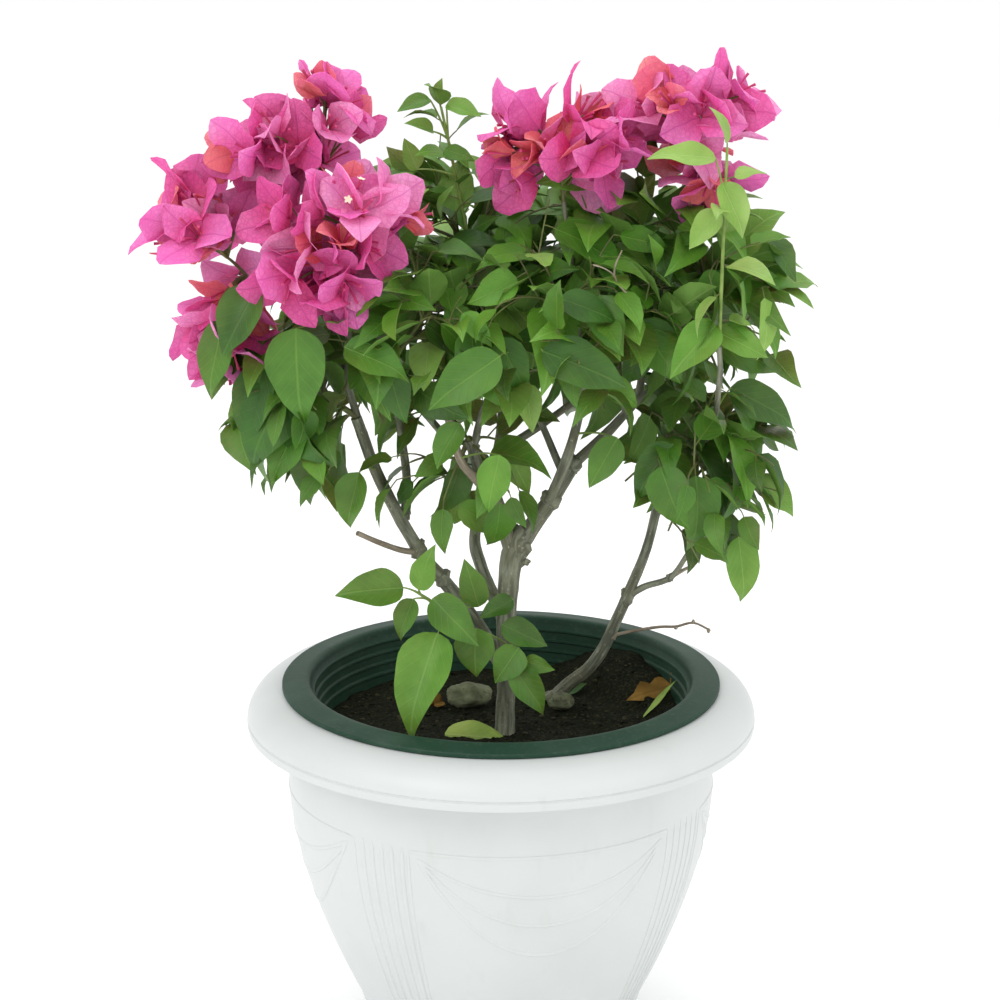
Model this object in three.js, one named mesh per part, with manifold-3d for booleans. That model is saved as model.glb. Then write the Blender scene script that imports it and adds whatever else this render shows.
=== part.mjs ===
// A bougainvillea bush in bloom, standing in a white planter with a dark green liner pot.
// Millimetres, +Z up, origin at the centre of the planter's flat underside.
// The front of the bush faces -Y. Every mesh is one closed solid, 0.3 mm clear of its neighbours.

import * as THREE from "three";
import { mergeVertices } from "three/addons/utils/BufferGeometryUtils.js";
import Module from "manifold-3d";

const wasm = await Module();
wasm.setup();

// Driving sizes of the two pots and the soil
const clearance = 0.3;
const lipRadius = 200;
const lipTop = 287.5;
const lipHeight = 25;
const bodyTopRadius = 168;
const waistRadius = 111;
const footHeight = 28;
const wall = 4;
const linerFlange = 172;
const linerCrest = 152;
const linerTop = 294;
const linerFloor = 12;
const soilTop = 250;
const potSides = 38;

// Driving sizes of twigs, leaves and bracts
const stemRadius = 3.4;
const twigRadius = 1.5;
const leafWidth = 0.58;
const bractLength = 43;
const bractWidth = 0.92;
const leafSpacing = 16;
const bloomSpacing = 19;
const tries = 8;
const goldenAngle = THREE.MathUtils.degToRad(137.5);

const up = new THREE.Vector3(0, 0, 1);
const front = new THREE.Vector3(0, -1, 0);
const crownHeart = new THREE.Vector3(0, 10, 520);

// Limbs: each is one tapering tube through a few points, named with the limb that it grows from.
// radius holds the foot's and the tip's; flare widens the foot, and fork widens the tip.
const limbs = [
  { name: "trunk_main",
    path: [[3, -12, 244], [4, -12, 290], [4, -12, 345], [8, -11, 390], [14, -10, 405]],
    radius: [6.8, 7.8], flare: 2.4, fork: 2.2, sides: 8, steps: 7 },
  { name: "trunk_left",
    path: [[1, -8, 306], [-12, 3, 323], [-26, 2, 345], [-45, -4, 373], [-63, -10, 398],
      [-92, -16, 455], [-110, -24, 508]],
    radius: [6, 4.2], flare: 1, sides: 7, steps: 7 },
  { name: "trunk_back",
    path: [[4, -8, 338], [-5, 7, 354], [-16, 23, 377], [-20, 33, 404], [-2, 46, 466], [3, 62, 520]],
    radius: [5, 3.8], flare: 1, sides: 6, steps: 7 },
  { name: "trunk_right",
    path: [[38, 66, 244], [55, 57, 266], [70, 50, 281], [83, 44, 303], [98, 35, 342],
      [114, 25, 388], [123, 17, 430], [129, 10, 452], [150, 0, 480]],
    radius: [5.4, 2.9], flare: 0.8, sides: 6, steps: 10 },
  { name: "bough_right", path: [[11, -10, 398], [26, -6, 420], [39, 0, 437], [59, 12, 466]],
    radius: [7.6, 5], sides: 7, steps: 4 },
  { name: "bough_left_fork",
    path: [[8, -11, 398], [-4, -20, 443], [-16, -30, 468], [-24, -37, 494]], radius: [6, 3.6],
    sides: 6, steps: 4 },
  { name: "bough_centre", path: [[38, -1, 436], [47, -10, 462], [57, -24, 500], [65, -36, 545]],
    radius: [4.8, 2.8], sides: 5, steps: 4 },
  { name: "bough_right_high",
    path: [[56, 11, 462], [90, 24, 492], [108, 27, 520], [104, 22, 580]], radius: [4.3, 2.2],
    sides: 5, steps: 6 },
  { name: "bough_right_out", path: [[96, 26, 500], [124, 10, 530], [148, -2, 565]],
    radius: [3, 2], sides: 5, steps: 3 },
  { name: "bough_left_mid",
    path: [[-74, -11, 424], [-73, 2, 455], [-78, -18, 505], [-84, -36, 548]], radius: [3.8, 2.4],
    sides: 5, steps: 5 },
  { name: "bough_cross", path: [[-21, -35, 486], [-13, -44, 520], [3, -50, 550], [24, -54, 578]],
    radius: [3, 2.1], sides: 5, steps: 4 },
  { name: "bough_back_left", path: [[-14, 39, 440], [-50, 55, 480], [-88, 66, 524]],
    radius: [3.6, 2.2], sides: 5, steps: 4 },
  { name: "bough_back_right", path: [[-3, 45, 462], [44, 60, 490], [92, 72, 526]],
    radius: [3.6, 2.2], sides: 5, steps: 4 },
  { name: "bough_core", path: [[47, -9, 461], [24, 12, 510], [-8, 22, 566]], radius: [3, 2],
    sides: 5, steps: 4 },
  { name: "bough_mid_high", path: [[2, 58, 508], [-8, 36, 570], [-26, -6, 648]], radius: [3, 1.8],
    sides: 5, steps: 5 },
  { name: "bough_shoot_right", path: [[134, 12, 458], [158, -28, 496], [161, -76, 550], [159, -90, 578]],
    radius: [2.6, 2], sides: 5, steps: 4 },
  { name: "bough_right_side",
    path: [[101, 34, 348], [114, 27, 358], [134, 17, 369], [148, 4, 395], [163, -12, 416]],
    radius: [2.9, 1.5], sides: 5, steps: 5 },
  { name: "bough_sprout", path: [[-27, 1, 346], [-39, -26, 352], [-50, -46, 366]],
    radius: [2.6, 1.8], sides: 5, steps: 3 },
  { name: "bough_flowers_left",
    path: [[-107, -22, 500], [-122, -30, 560], [-132, -36, 625], [-134, -38, 668]],
    radius: [3.2, 1.8], sides: 5, steps: 5 },
  { name: "bough_flowers_outer", path: [[-127, -33, 588], [-160, -46, 604], [-188, -52, 622]],
    radius: [2.3, 1.6], sides: 5, steps: 3 },
  { name: "bough_flowers_inner", path: [[-117, -27, 540], [-112, -56, 580], [-112, -74, 624]],
    radius: [2.3, 1.6], sides: 5, steps: 3 },
  { name: "bough_flowers_right", path: [[60, -29, 520], [56, -32, 600], [46, -42, 676]],
    radius: [2.4, 1.6], sides: 5, steps: 4 },
  { name: "bough_flowers_far", path: [[107, 26, 540], [128, 10, 610], [146, -8, 672]],
    radius: [2.4, 1.6], sides: 5, steps: 4 },
  { name: "stub_centre",
    path: [[-2, -18, 436], [-18, -38, 462], [-31, -48, 482], [-40, -60, 519]], radius: [3.8, 3],
    sides: 6, steps: 4 },
  { name: "stub_left", path: [[-60, -7, 395], [-76, -22, 396], [-93, -35, 409], [-109, -46, 423]],
    radius: [2.6, 1.9], sides: 5, steps: 4 },
  { name: "dead_fork", path: [[134, 16, 369], [143, 15, 375], [152, 14, 380]], radius: [1.6, 1.1],
    sides: 4, steps: 3 },
  { name: "dead_twig",
    path: [[87, 41, 312], [105, 31, 320], [125, 20, 329], [145, 8, 335], [163, -4, 337]],
    radius: [1.5, 0.8], sides: 4, steps: 6 },
];

// Masses: each keeps to an ellipsoid of its own, cut off midway to the masses beside it.
// Its stem starts at the tip of the limb named in from, or at the place that foot gives on it.
const masses = [
  { name: "leaves_left", from: "trunk_left", centre: [-150, -44, 520], radii: [92, 78, 98],
    twigs: 6, leaf: 70, droop: 0.9,
    leaves: [
      [[-153, -96, 595], [-147, -104, 527]], [[-175, -70, 559], [-189, -78, 499]],
      [[-148, -80, 522], [-171, -84, 471]], [[-133, -66, 516], [-147, -70, 452]],
      [[-206, -44, 580], [-216, -52, 528]], [[-106, -66, 476], [-116, -66, 432]],
    ] },
  { name: "leaves_front_left", from: "bough_left_mid", centre: [-58, -60, 588],
    radii: [96, 78, 92], twigs: 6, leaf: 70, droop: 0.8,
    leaves: [
      [[-113, -104, 580], [-66, -112, 561]], [[-1, -112, 575], [-53, -120, 538]],
      [[-82, -92, 562], [-71, -96, 520]],
    ] },
  { name: "leaves_front_right", from: "bough_centre", centre: [48, -60, 592], radii: [96, 78, 94],
    twigs: 6, leaf: 70, droop: 0.8,
    leaves: [
      [[30, -112, 579], [92, -114, 553]], [[43, -104, 616], [84, -106, 600]],
    ] },
  { name: "leaves_right", from: "bough_right_out", centre: [152, -12, 606], radii: [88, 90, 98],
    twigs: 7, leaf: 68, droop: 0.9,
    leaves: [
      [[182, -20, 617], [222, -22, 594]],
    ] },
  { name: "leaves_lower_right", from: "trunk_right", centre: [140, -18, 470],
    radii: [92, 84, 106], twigs: 7, leaf: 66, droop: 0.9,
    leaves: [
      [[129, -44, 492], [99, -50, 451]], [[181, -40, 418], [187, -42, 366]],
      [[180, -42, 524], [214, -46, 506]], [[196, -20, 460], [226, -22, 430]],
    ] },
  { name: "leaves_low_centre", from: "bough_left_fork", centre: [-24, -48, 476],
    radii: [98, 72, 88], twigs: 7, leaf: 62, droop: 0.5,
    leaves: [
      [[87, -56, 500], [65, -62, 463]], [[-1, -84, 494], [-11, -86, 450]],
      [[-30, -84, 518], [-50, -84, 484]],
    ] },
  { name: "leaves_back_left", from: "bough_back_left", centre: [-106, 72, 556],
    radii: [96, 86, 108], twigs: 7, leaf: 76, droop: 0.8 },
  { name: "leaves_back", from: "trunk_back", centre: [0, 106, 560], radii: [94, 84, 112],
    twigs: 7, leaf: 76, droop: 0.8 },
  { name: "leaves_back_right", from: "bough_back_right", centre: [110, 82, 556],
    radii: [94, 88, 110], twigs: 7, leaf: 76, droop: 0.8 },
  { name: "leaves_core", from: "bough_core", centre: [-34, 14, 640], radii: [104, 74, 82],
    twigs: 7, leaf: 66, droop: 0.4 },
  { name: "leaves_top_right", from: "bough_right_high", centre: [84, -4, 640],
    radii: [98, 84, 84], twigs: 7, leaf: 66, droop: 0.5 },
  { name: "shoot_mid", from: "bough_mid_high", centre: [-44, -24, 708], radii: [54, 54, 80],
    twigs: 0, leaf: 40, droop: 0.1, reach: [-44, -30, 752], every: 11 },
  { name: "shoot_right", from: "bough_shoot_right", centre: [156, -98, 650], radii: [80, 60, 122],
    twigs: 0, leaf: 40, droop: 0.7, reach: [160, -112, 744], every: 20,
    leaves: [
      [[152, -110, 722], [107, -114, 730]], [[157, -108, 700], [173, -116, 663]],
      [[155, -104, 679], [134, -112, 653]], [[156, -92, 594], [122, -108, 560]],
      [[157, -86, 588], [194, -96, 569]],
    ] },
  { name: "sprout_left", from: "bough_sprout", centre: [-80, -62, 352], radii: [90, 68, 90],
    twigs: 0, leaf: 44, droop: 0.6, every: 60,
    leaves: [
      [[-52, -50, 381], [-128, -62, 374]], [[-47, -56, 350], [-75, -92, 277]],
      [[-48, -56, 377], [-18, -74, 342]], [[-63, -52, 380], [-52, -56, 415]],
      [[-67, -44, 370], [-79, -50, 339]],
    ] },
  { name: "sprout_front", from: "trunk_main", foot: [2, -12, 306], centre: [0, -50, 322],
    radii: [62, 54, 80], twigs: 0, leaf: 34, droop: 0.5, every: 60,
    leaves: [
      [[3, -52, 332], [-2, -62, 308]], [[11, -56, 313], [34, -62, 282]],
      [[4, -46, 346], [39, -50, 335]], [[-13, -46, 338], [-22, -54, 310]],
      [[-18, -38, 354], [-28, -40, 390]],
    ] },
  { name: "flowers_left_top", from: "bough_flowers_left", centre: [-130, -34, 724],
    radii: [86, 78, 84], twigs: 8, blooms: true },
  { name: "flowers_left_outer", from: "bough_flowers_outer", centre: [-200, -52, 634],
    radii: [90, 80, 128], twigs: 10, blooms: true },
  { name: "flowers_left_inner", from: "bough_flowers_inner", centre: [-112, -92, 664],
    radii: [98, 80, 84], twigs: 8, blooms: true },
  { name: "flowers_right_inner", from: "bough_flowers_right", centre: [42, -46, 716],
    radii: [96, 84, 80], twigs: 9, blooms: true },
  { name: "flowers_right_far", from: "bough_flowers_far", centre: [140, -34, 726],
    radii: [102, 84, 90], twigs: 10, blooms: true },
];

// Stones and shed leaves that lie on the soil: places and sizes from above.
const stones = [
  { name: "stone_left", centre: [-27, 49], radii: [19, 14, 13] },
  { name: "stone_right", centre: [49, 40], radii: [11, 9, 9] },
];
const shedLeaves = [
  { name: "leaf_fallen", base: [-47, -12], tip: [3, -35], width: 25, lift: 0.12, colour: "#8fae4f" },
  { name: "leaf_dry_right", base: [101, 50], tip: [124, 63], width: 21, lift: 0.3, colour: "#9a6a3c" },
  { name: "leaf_dry_left", base: [-60, 40], tip: [-46, 54], width: 11, lift: 0.3, colour: "#a0703a" },
  { name: "leaf_blade", base: [118, 19], tip: [133, 45], width: 8, lift: 0.12, colour: "#7d9a4e" },
];

// The same number from 0 to 1 for the same keys, so that a skipped leaf changes no other.
function chance(...keys) {
  let hash = 2166136261;
  for (const key of keys) {
    hash = Math.imul(hash ^ (key + 101), 16777619);
    hash ^= hash >>> 13;
    hash = Math.imul(hash, 2246822507);
    hash ^= hash >>> 16;
  }
  return (hash >>> 0) / 4294967296;
}

function vector([x, y, z]) {
  return new THREE.Vector3(x, y, z);
}

function between(low, high, share) {
  return low + (high - low) * share;
}

// A geometry as a solid for cutting and joining.
function solidOf(geometry) {
  const bare = new THREE.BufferGeometry();
  bare.setAttribute("position", geometry.getAttribute("position"));
  bare.setIndex(geometry.index);
  const merged = mergeVertices(bare, 1e-4);
  const faces = [];
  for (let i = 0; i < merged.index.count; i += 3) {
    const face = [0, 1, 2].map((corner) => merged.index.getX(i + corner));
    if (new Set(face).size === 3) faces.push(...face);
  }
  return new wasm.Manifold(
    new wasm.Mesh({
      numProp: 3,
      vertProperties: merged.getAttribute("position").array,
      triVerts: new Uint32Array(faces),
    }),
  );
}

function geometryOf(solid) {
  const { vertProperties, triVerts } = solid.getMesh();
  const geometry = new THREE.BufferGeometry();
  geometry.setAttribute("position", new THREE.BufferAttribute(vertProperties, 3));
  geometry.setIndex(new THREE.BufferAttribute(triVerts, 1));
  geometry.computeVertexNormals();
  return geometry;
}

// The largest body alone: cut-off scraps and sealed hollows are dropped.
function largestBody(solid) {
  const bodies = solid.decompose();
  return bodies.reduce((best, body) => (body.volume() > best.volume() ? body : best));
}

// A closed tube that runs along a curve, with a radius for each share of its length.
function taperedTube(curve, radiusAt, sides, steps) {
  const tube = new THREE.CylinderGeometry(1, 1, 1, sides, steps);
  const frames = curve.computeFrenetFrames(steps);
  const position = tube.getAttribute("position");
  for (let i = 0; i < position.count; i += 1) {
    const ring = Math.round((position.getY(i) + 0.5) * steps);
    const radius = radiusAt(ring / steps);
    const place = curve
      .getPointAt(ring / steps)
      .addScaledVector(frames.binormals[ring], position.getX(i) * radius)
      .addScaledVector(frames.normals[ring], position.getZ(i) * radius);
    position.setXYZ(i, place.x, place.y, place.z);
  }
  return tube;
}

function limbCurve(limb) {
  return new THREE.CatmullRomCurve3(limb.path.map(vector), false, "catmullrom", 0.5);
}

function limbRadius(limb, share) {
  const flare = (limb.flare ?? 0) * Math.exp(-9 * share);
  const fork = (limb.fork ?? 0) * Math.exp(-9 * (1 - share));
  return between(limb.radius[0], limb.radius[1], share) + flare + fork;
}

// The limb as a solid, made larger all round by margin.
function limbSolid(limb, margin) {
  const points = limb.path.map(vector);
  const last = points.length - 1;
  const onward = points[last].clone().sub(points[last - 1]).normalize();
  points[last].addScaledVector(onward, margin);
  const curve = new THREE.CatmullRomCurve3(points, false, "catmullrom", 0.5);
  const radiusAt = (share) => limbRadius(limb, share) + margin;
  return solidOf(taperedTube(curve, radiusAt, limb.sides, limb.steps));
}

// A thin pointed blade: its two sides stand above the line of its midrib by its thickness.
function bladeCorners({ base, along, face, length, width, lift }) {
  const side = new THREE.Vector3().crossVectors(face, along);
  const point = (forward, sideways, above) =>
    base
      .clone()
      .addScaledVector(along, forward * length)
      .addScaledVector(side, sideways * width)
      .addScaledVector(face, above * length);
  return {
    base: base.clone(),
    tip: point(1, 0, 0),
    left: point(0.42, -0.5, lift),
    right: point(0.42, 0.5, lift),
  };
}

// A tetrahedron has a blade's four corners, each known by the signs of its coordinates.
function bladeSolid(blade) {
  const { base, tip, left, right } = bladeCorners(blade);
  const blank = new THREE.TetrahedronGeometry(1);
  const position = blank.getAttribute("position");
  for (let i = 0; i < position.count; i += 1) {
    const forward = position.getX(i) > 0;
    const upward = position.getY(i) > 0;
    const corner = forward ? (upward ? tip : left) : upward ? base : right;
    position.setXYZ(i, corner.x, corner.y, corner.z);
  }
  return solidOf(blank);
}

// Half the width of an ellipsoid along a direction.
function reachAlong(radii, direction) {
  return Math.hypot(radii[0] * direction.x, radii[1] * direction.y, radii[2] * direction.z);
}

// The planes that part a mass from the masses whose ellipsoids it would run into.
function partingPlanes(mass) {
  const planes = [];
  for (const other of masses) {
    if (other === mass) continue;
    const toward = vector(other.centre).sub(vector(mass.centre));
    const apart = toward.length();
    toward.normalize();
    const own = reachAlong(mass.radii, toward);
    const theirs = reachAlong(other.radii, toward);
    if (apart > own + theirs) continue;
    planes.push({ toward, limit: (apart * own) / (own + theirs) - clearance });
  }
  return planes;
}

function insideSpace(space, point, margin = 0) {
  const offset = point.clone().sub(space.centre);
  const [a, b, c] = space.radii;
  if ((offset.x / a) ** 2 + (offset.y / b) ** 2 + (offset.z / c) ** 2 > 1) return false;
  return space.planes.every((plane) => offset.dot(plane.toward) < plane.limit - margin);
}

// Whether the stretch from start to end goes through the triangle a, b, c.
function pierces(start, end, a, b, c) {
  const ray = new THREE.Ray(start, end.clone().sub(start).normalize());
  const hit = ray.intersectTriangle(a, b, c, false, new THREE.Vector3());
  return hit !== null && hit.distanceTo(start) < end.distanceTo(start);
}

function bladeTriangles({ base, tip, left, right }) {
  return [[base, left, tip], [base, tip, right]];
}

function boxOf(corners) {
  return new THREE.Box3().setFromPoints(Object.values(corners));
}

// Whether two blades cross, from their corners.
function bladesCross(first, second) {
  if (!first.box.intersectsBox(second.box)) return false;
  for (const one of first.triangles) {
    for (const two of second.triangles) {
      for (let i = 0; i < 3; i += 1) {
        if (pierces(one[i], one[(i + 1) % 3], ...two)) return true;
        if (pierces(two[i], two[(i + 1) % 3], ...one)) return true;
      }
    }
  }
  return false;
}

// The centre lines of all limbs as short stretches with a radius.
const limbStretches = limbs.flatMap((limb) => {
  const points = limbCurve(limb).getPoints(limb.steps * 2);
  return points.slice(1).map((end, i) => ({
    start: points[i],
    end,
    radius: limbRadius(limb, (i + 0.5) / (points.length - 1)),
  }));
});

function nearStretch(point, stretch, margin) {
  const line = new THREE.Line3(stretch.start, stretch.end);
  const nearest = line.closestPointToPoint(point, true, new THREE.Vector3());
  return nearest.distanceTo(point) < stretch.radius + margin;
}

function touchesLimb(shape) {
  const probes = shape.triangles.flatMap(([a, b, c]) => [
    a.clone().add(b).add(c).divideScalar(3),
    b.clone().add(c).divideScalar(2),
  ]);
  return limbStretches.some((stretch) => {
    if (probes.some((probe) => nearStretch(probe, stretch, 1))) return true;
    return shape.triangles.some((triangle) => pierces(stretch.start, stretch.end, ...triangle));
  });
}

// A unit vector square to along, and as near to wanted as it can be.
function squareTo(along, wanted) {
  return wanted.clone().addScaledVector(along, -wanted.dot(along)).normalize();
}

function outwardAt(point) {
  const outward = point.clone().sub(crownHeart);
  outward.z *= 0.6;
  return outward.normalize();
}

// The light that a leaf turns to: from outside the crown, from above, and a little from the front.
function lightAt(point) {
  return outwardAt(point).multiplyScalar(0.6).addScaledVector(up, 0.8).addScaledVector(front, 0.35);
}

// The way that a leaf points and faces: out from its twig, drooping, with its upper face to the light.
function leafAt(mass, twig, node, attempt) {
  const key = (channel) => chance(mass.seed, twig.number, node.number, attempt * 16 + channel);
  const aside = squareTo(node.tangent, new THREE.Vector3(0.31, 0.17, 0.93));
  aside.applyAxisAngle(node.tangent, node.number * goldenAngle + twig.number + attempt * 1.1);
  const outward = outwardAt(node.point);
  const along = aside
    .multiplyScalar(node.last ? 0.2 : 0.6)
    .addScaledVector(node.tangent, node.last ? 0.6 : 0.35)
    .addScaledVector(outward, 0.3)
    .addScaledVector(up, -mass.droop * between(0.3, 1.3, key(1)))
    .normalize();
  const light = lightAt(node.point).add(
    new THREE.Vector3(key(2) - 0.5, key(3) - 0.5, key(4) - 0.5).multiplyScalar(0.8),
  );
  const length = mass.leaf * between(0.78, 1.12, key(5)) * (node.last ? 0.85 : 1) * 0.95 ** attempt;
  return {
    base: node.point.clone().addScaledVector(along, -0.2),
    along,
    face: squareTo(along, light),
    length,
    width: length * leafWidth * between(0.9, 1.1, key(6)),
    lift: between(0.03, 0.06, key(7)),
  };
}

// Three bracts that open round one point, as one bloom.
function bloomAt(mass, twig, node, attempt) {
  const key = (channel) => chance(mass.seed, twig.number, node.number, attempt * 16 + channel);
  const aside = squareTo(node.tangent, new THREE.Vector3(0.31, 0.17, 0.93));
  aside.applyAxisAngle(node.tangent, node.number * goldenAngle + twig.number + attempt * 1.1);
  const axis = aside
    .multiplyScalar(node.last ? 0.2 : 0.6)
    .addScaledVector(node.tangent, node.last ? 0.7 : 0.3)
    .addScaledVector(node.point.clone().sub(vector(mass.centre)).normalize(), 0.6)
    .addScaledVector(up, 0.2)
    .normalize();
  const first = squareTo(axis, new THREE.Vector3(0.2, 0.9, 0.4)).applyAxisAngle(axis, key(1) * 2.1);
  const length = bractLength * between(0.85, 1.1, key(2)) * 0.95 ** attempt;
  const opening = between(0.8, 1.15, key(3));
  return [0, 1, 2].map((number) => {
    const away = first.clone().applyAxisAngle(axis, (number * Math.PI * 2) / 3);
    const along = axis.clone().multiplyScalar(Math.cos(opening));
    along.addScaledVector(away, Math.sin(opening));
    return {
      base: node.point.clone().addScaledVector(axis, -0.2),
      along,
      face: squareTo(along, axis),
      length,
      width: length * bractWidth,
      lift: 0.04,
    };
  });
}

function bladesAt(mass, twig, node, attempt) {
  return mass.blooms ? bloomAt(mass, twig, node, attempt) : [leafAt(mass, twig, node, attempt)];
}

// A twig's curve: it rises from its start before it leans over to its end.
function archedCurve(start, end, rise) {
  const height = start.distanceTo(end) * rise;
  const middle = start.clone().add(end).divideScalar(2).addScaledVector(up, height);
  return new THREE.QuadraticBezierCurve3(start, middle, end);
}

// A twig bears leaves or blooms from the share of its length named first to the one named last.
function twigOf(number, curve, sizes) {
  return { number, curve, points: curve.getSpacedPoints(sizes.steps), ...sizes };
}

// The place and direction at a share of a twig's length, on the straight stretches of its solid.
function placeOn(twig, share) {
  const step = Math.min(twig.steps - 1, Math.floor(share * twig.steps));
  const point = twig.points[step].clone();
  const stretch = twig.points[step + 1].clone().sub(point);
  point.addScaledVector(stretch, share * twig.steps - step);
  return { point, tangent: stretch.normalize() };
}

// The places on a twig that carry a leaf or a bloom.
function nodesAlong(twig, every) {
  const count = Math.floor((twig.curve.getLength() * (twig.last - twig.first)) / every);
  const ends = twig.last > 0.9;
  return Array.from({ length: ends ? count + 1 : count }, (_, number) => ({
    number,
    last: ends && number === count,
    ...placeOn(twig, between(twig.last, twig.first, (count - number) / Math.max(count, 1))),
  }));
}

function massStem(mass) {
  const limb = limbs.find(({ name }) => name === mass.from);
  const foot = vector(mass.foot ?? limb.path.at(-1));
  const centre = vector(mass.centre);
  const beyond = centre.clone().addScaledVector(centre.clone().sub(foot), 0.3);
  const end = mass.reach ? vector(mass.reach) : beyond;
  const onward = end.clone().sub(foot).normalize();
  const curve = archedCurve(foot.addScaledVector(onward, -1.5), end, mass.reach ? 0.04 : 0.12);
  return twigOf(0, curve, { steps: 4, radius: stemRadius, first: mass.reach ? 0.14 : 0.4, last: 0.985 });
}

// The side twigs of a mass: from its stem to points spread round its ellipsoid.
function sideTwigs(mass, stem) {
  const start = stem.points[0];
  const axis = stem.points.at(-1).clone().sub(start);
  const shares = mass.blooms ? [0.3, 0.56] : [0.4, 0.75];
  return Array.from({ length: mass.twigs }, (_, i) => {
    const height = 1 - (2 * (i + 0.5)) / mass.twigs;
    const turn = i * goldenAngle + mass.seed;
    const round = Math.sqrt(1 - height * height);
    const end = vector([round * Math.cos(turn), round * Math.sin(turn), height])
      .multiply(vector(mass.radii))
      .multiplyScalar(between(...shares, chance(mass.seed, i, 77)))
      .add(vector(mass.centre));
    const share = end.clone().sub(start).dot(axis) / axis.lengthSq();
    const foot = placeOn(stem, THREE.MathUtils.clamp(share - 0.35, 0.12, 0.9)).point;
    const sizes = { steps: 2, radius: twigRadius, first: 0.3, last: 0.985 };
    return twigOf(i + 1, archedCurve(foot, end, 0.22), sizes);
  });
}

// The leaves that stand out in the crown, each from its base to its tip.
function ownLeaves(mass) {
  return (mass.leaves ?? []).map(([base, tip]) => {
    const along = vector(tip).sub(vector(base));
    const length = along.length();
    along.normalize();
    const face = squareTo(along, lightAt(vector(base)));
    return { base: vector(base), along, face, length, width: length * leafWidth * 1.1, lift: 0.04 };
  });
}

// The twig that bears one of those leaves at its end, from the stem below it.
function ownTwig(mass, stem, blade, number) {
  const end = blade.base.clone().addScaledVector(blade.along, 1.5);
  const shares = [0.15, 0.3, 0.45, 0.6, 0.75];
  const feet = shares.map((share) => placeOn(stem, share).point);
  const farness = (foot) => foot.distanceTo(end) + Math.max(0, foot.z - end.z + 10);
  const foot = feet.reduce((best, other) => (farness(other) < farness(best) ? other : best));
  const sizes = { steps: 1, radius: twigRadius, first: 0.4, last: 0.8 };
  return twigOf(50 + number, archedCurve(foot, end, 0.12), sizes);
}

function twigFits(space, twig) {
  return twig.curve.getPoints(6).slice(1).every((point) => insideSpace(space, point, twig.radius));
}

function shapeOf(blade) {
  const corners = bladeCorners(blade);
  return { blade, corners, box: boxOf(corners), triangles: bladeTriangles(corners) };
}

// Whether a twig other than its own runs through the shape.
function metByTwig(shape, twigs, own) {
  const meets = (start, end) => shape.triangles.some((triangle) => pierces(start, end, ...triangle));
  return twigs.some((twig) => {
    if (twig === own) return false;
    return twig.points.slice(1).some((end, i) => meets(twig.points[i], end));
  });
}

function shapeFits(shape, space, twigs, own, placed) {
  if (!Object.values(shape.corners).every((corner) => insideSpace(space, corner))) return false;
  if (touchesLimb(shape) || metByTwig(shape, twigs, own)) return false;
  return !placed.some((other) => bladesCross(shape, other));
}

// All twigs and blades of a mass. A blade that finds no room after a few tries is skipped.
function growMass(mass) {
  const space = { centre: vector(mass.centre), radii: mass.radii, planes: partingPlanes(mass) };
  const stem = massStem(mass);
  const leaves = ownLeaves(mass);
  const twigs = [
    stem,
    ...leaves.map((leaf, number) => ownTwig(mass, stem, leaf, number)),
    ...sideTwigs(mass, stem).filter((twig) => twigFits(space, twig)),
  ];
  const placed = leaves.map(shapeOf);
  for (const twig of twigs) {
    for (const node of nodesAlong(twig, mass.every ?? (mass.blooms ? bloomSpacing : leafSpacing))) {
      for (let attempt = 0; attempt < tries; attempt += 1) {
        const shapes = bladesAt(mass, twig, node, attempt).map(shapeOf);
        if (!shapes.every((shape) => shapeFits(shape, space, twigs, twig, placed))) continue;
        placed.push(...shapes);
        break;
      }
    }
  }
  return { twigs, blades: placed.map((shape) => shape.blade) };
}

function twigSolid(twig) {
  const radiusAt = (share) => between(twig.radius, twig.radius * 0.7, share);
  return solidOf(taperedTube(twig.curve, radiusAt, 3, twig.steps));
}

function material(colour, roughness) {
  return new THREE.MeshStandardMaterial({ color: colour, roughness, metalness: 0 });
}

const plant = new THREE.Group();

function addPiece(name, solid, finish) {
  const mesh = new THREE.Mesh(geometryOf(solid), finish);
  mesh.name = name;
  plant.add(mesh);
  return mesh;
}

// White planter: foot, bowl-shaped body and a broad rolled lip, open at the top.
function bodyRadius(z) {
  const share = Math.min(1, (z - footHeight) / (206 - footHeight));
  return waistRadius + (bodyTopRadius - waistRadius) * (1 - (1 - share) ** 1.6);
}

function planterProfile() {
  const points = [
    [0, 0], [waistRadius + 1, 0], [waistRadius + 1, 5], [waistRadius - 2, 12], [waistRadius, footHeight],
  ];
  const bodySteps = 5;
  for (let i = 1; i <= bodySteps; i += 1) {
    const z = between(footHeight, 206, i / bodySteps);
    points.push([bodyRadius(z), z]);
  }
  points.push([bodyTopRadius, 250], [lipRadius - 11, 256]);
  const lipWidth = lipRadius - linerFlange;
  const lipSteps = 4;
  for (let i = 0; i <= lipSteps; i += 1) {
    const angle = (i / lipSteps) * (Math.PI / 2);
    const z = lipTop - lipHeight + lipHeight * Math.sin(angle);
    points.push([linerFlange + lipWidth * Math.cos(angle), z]);
  }
  points.push([linerFlange - 7, lipTop]);
  points.push([bodyTopRadius - wall, 206]);
  for (let i = bodySteps - 2; i >= 1; i -= 2) {
    const z = between(footHeight, 206, i / bodySteps);
    points.push([bodyRadius(z) - wall, z]);
  }
  points.push([waistRadius - wall - 2, 5], [0, 5]);
  return points;
}

// Dark green liner: its flange rests on the planter's lip, and its walls hang inside.
function linerInside(z) {
  return between(102, 149.5, (z - linerFloor) / (linerTop - 1 - linerFloor));
}

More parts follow.
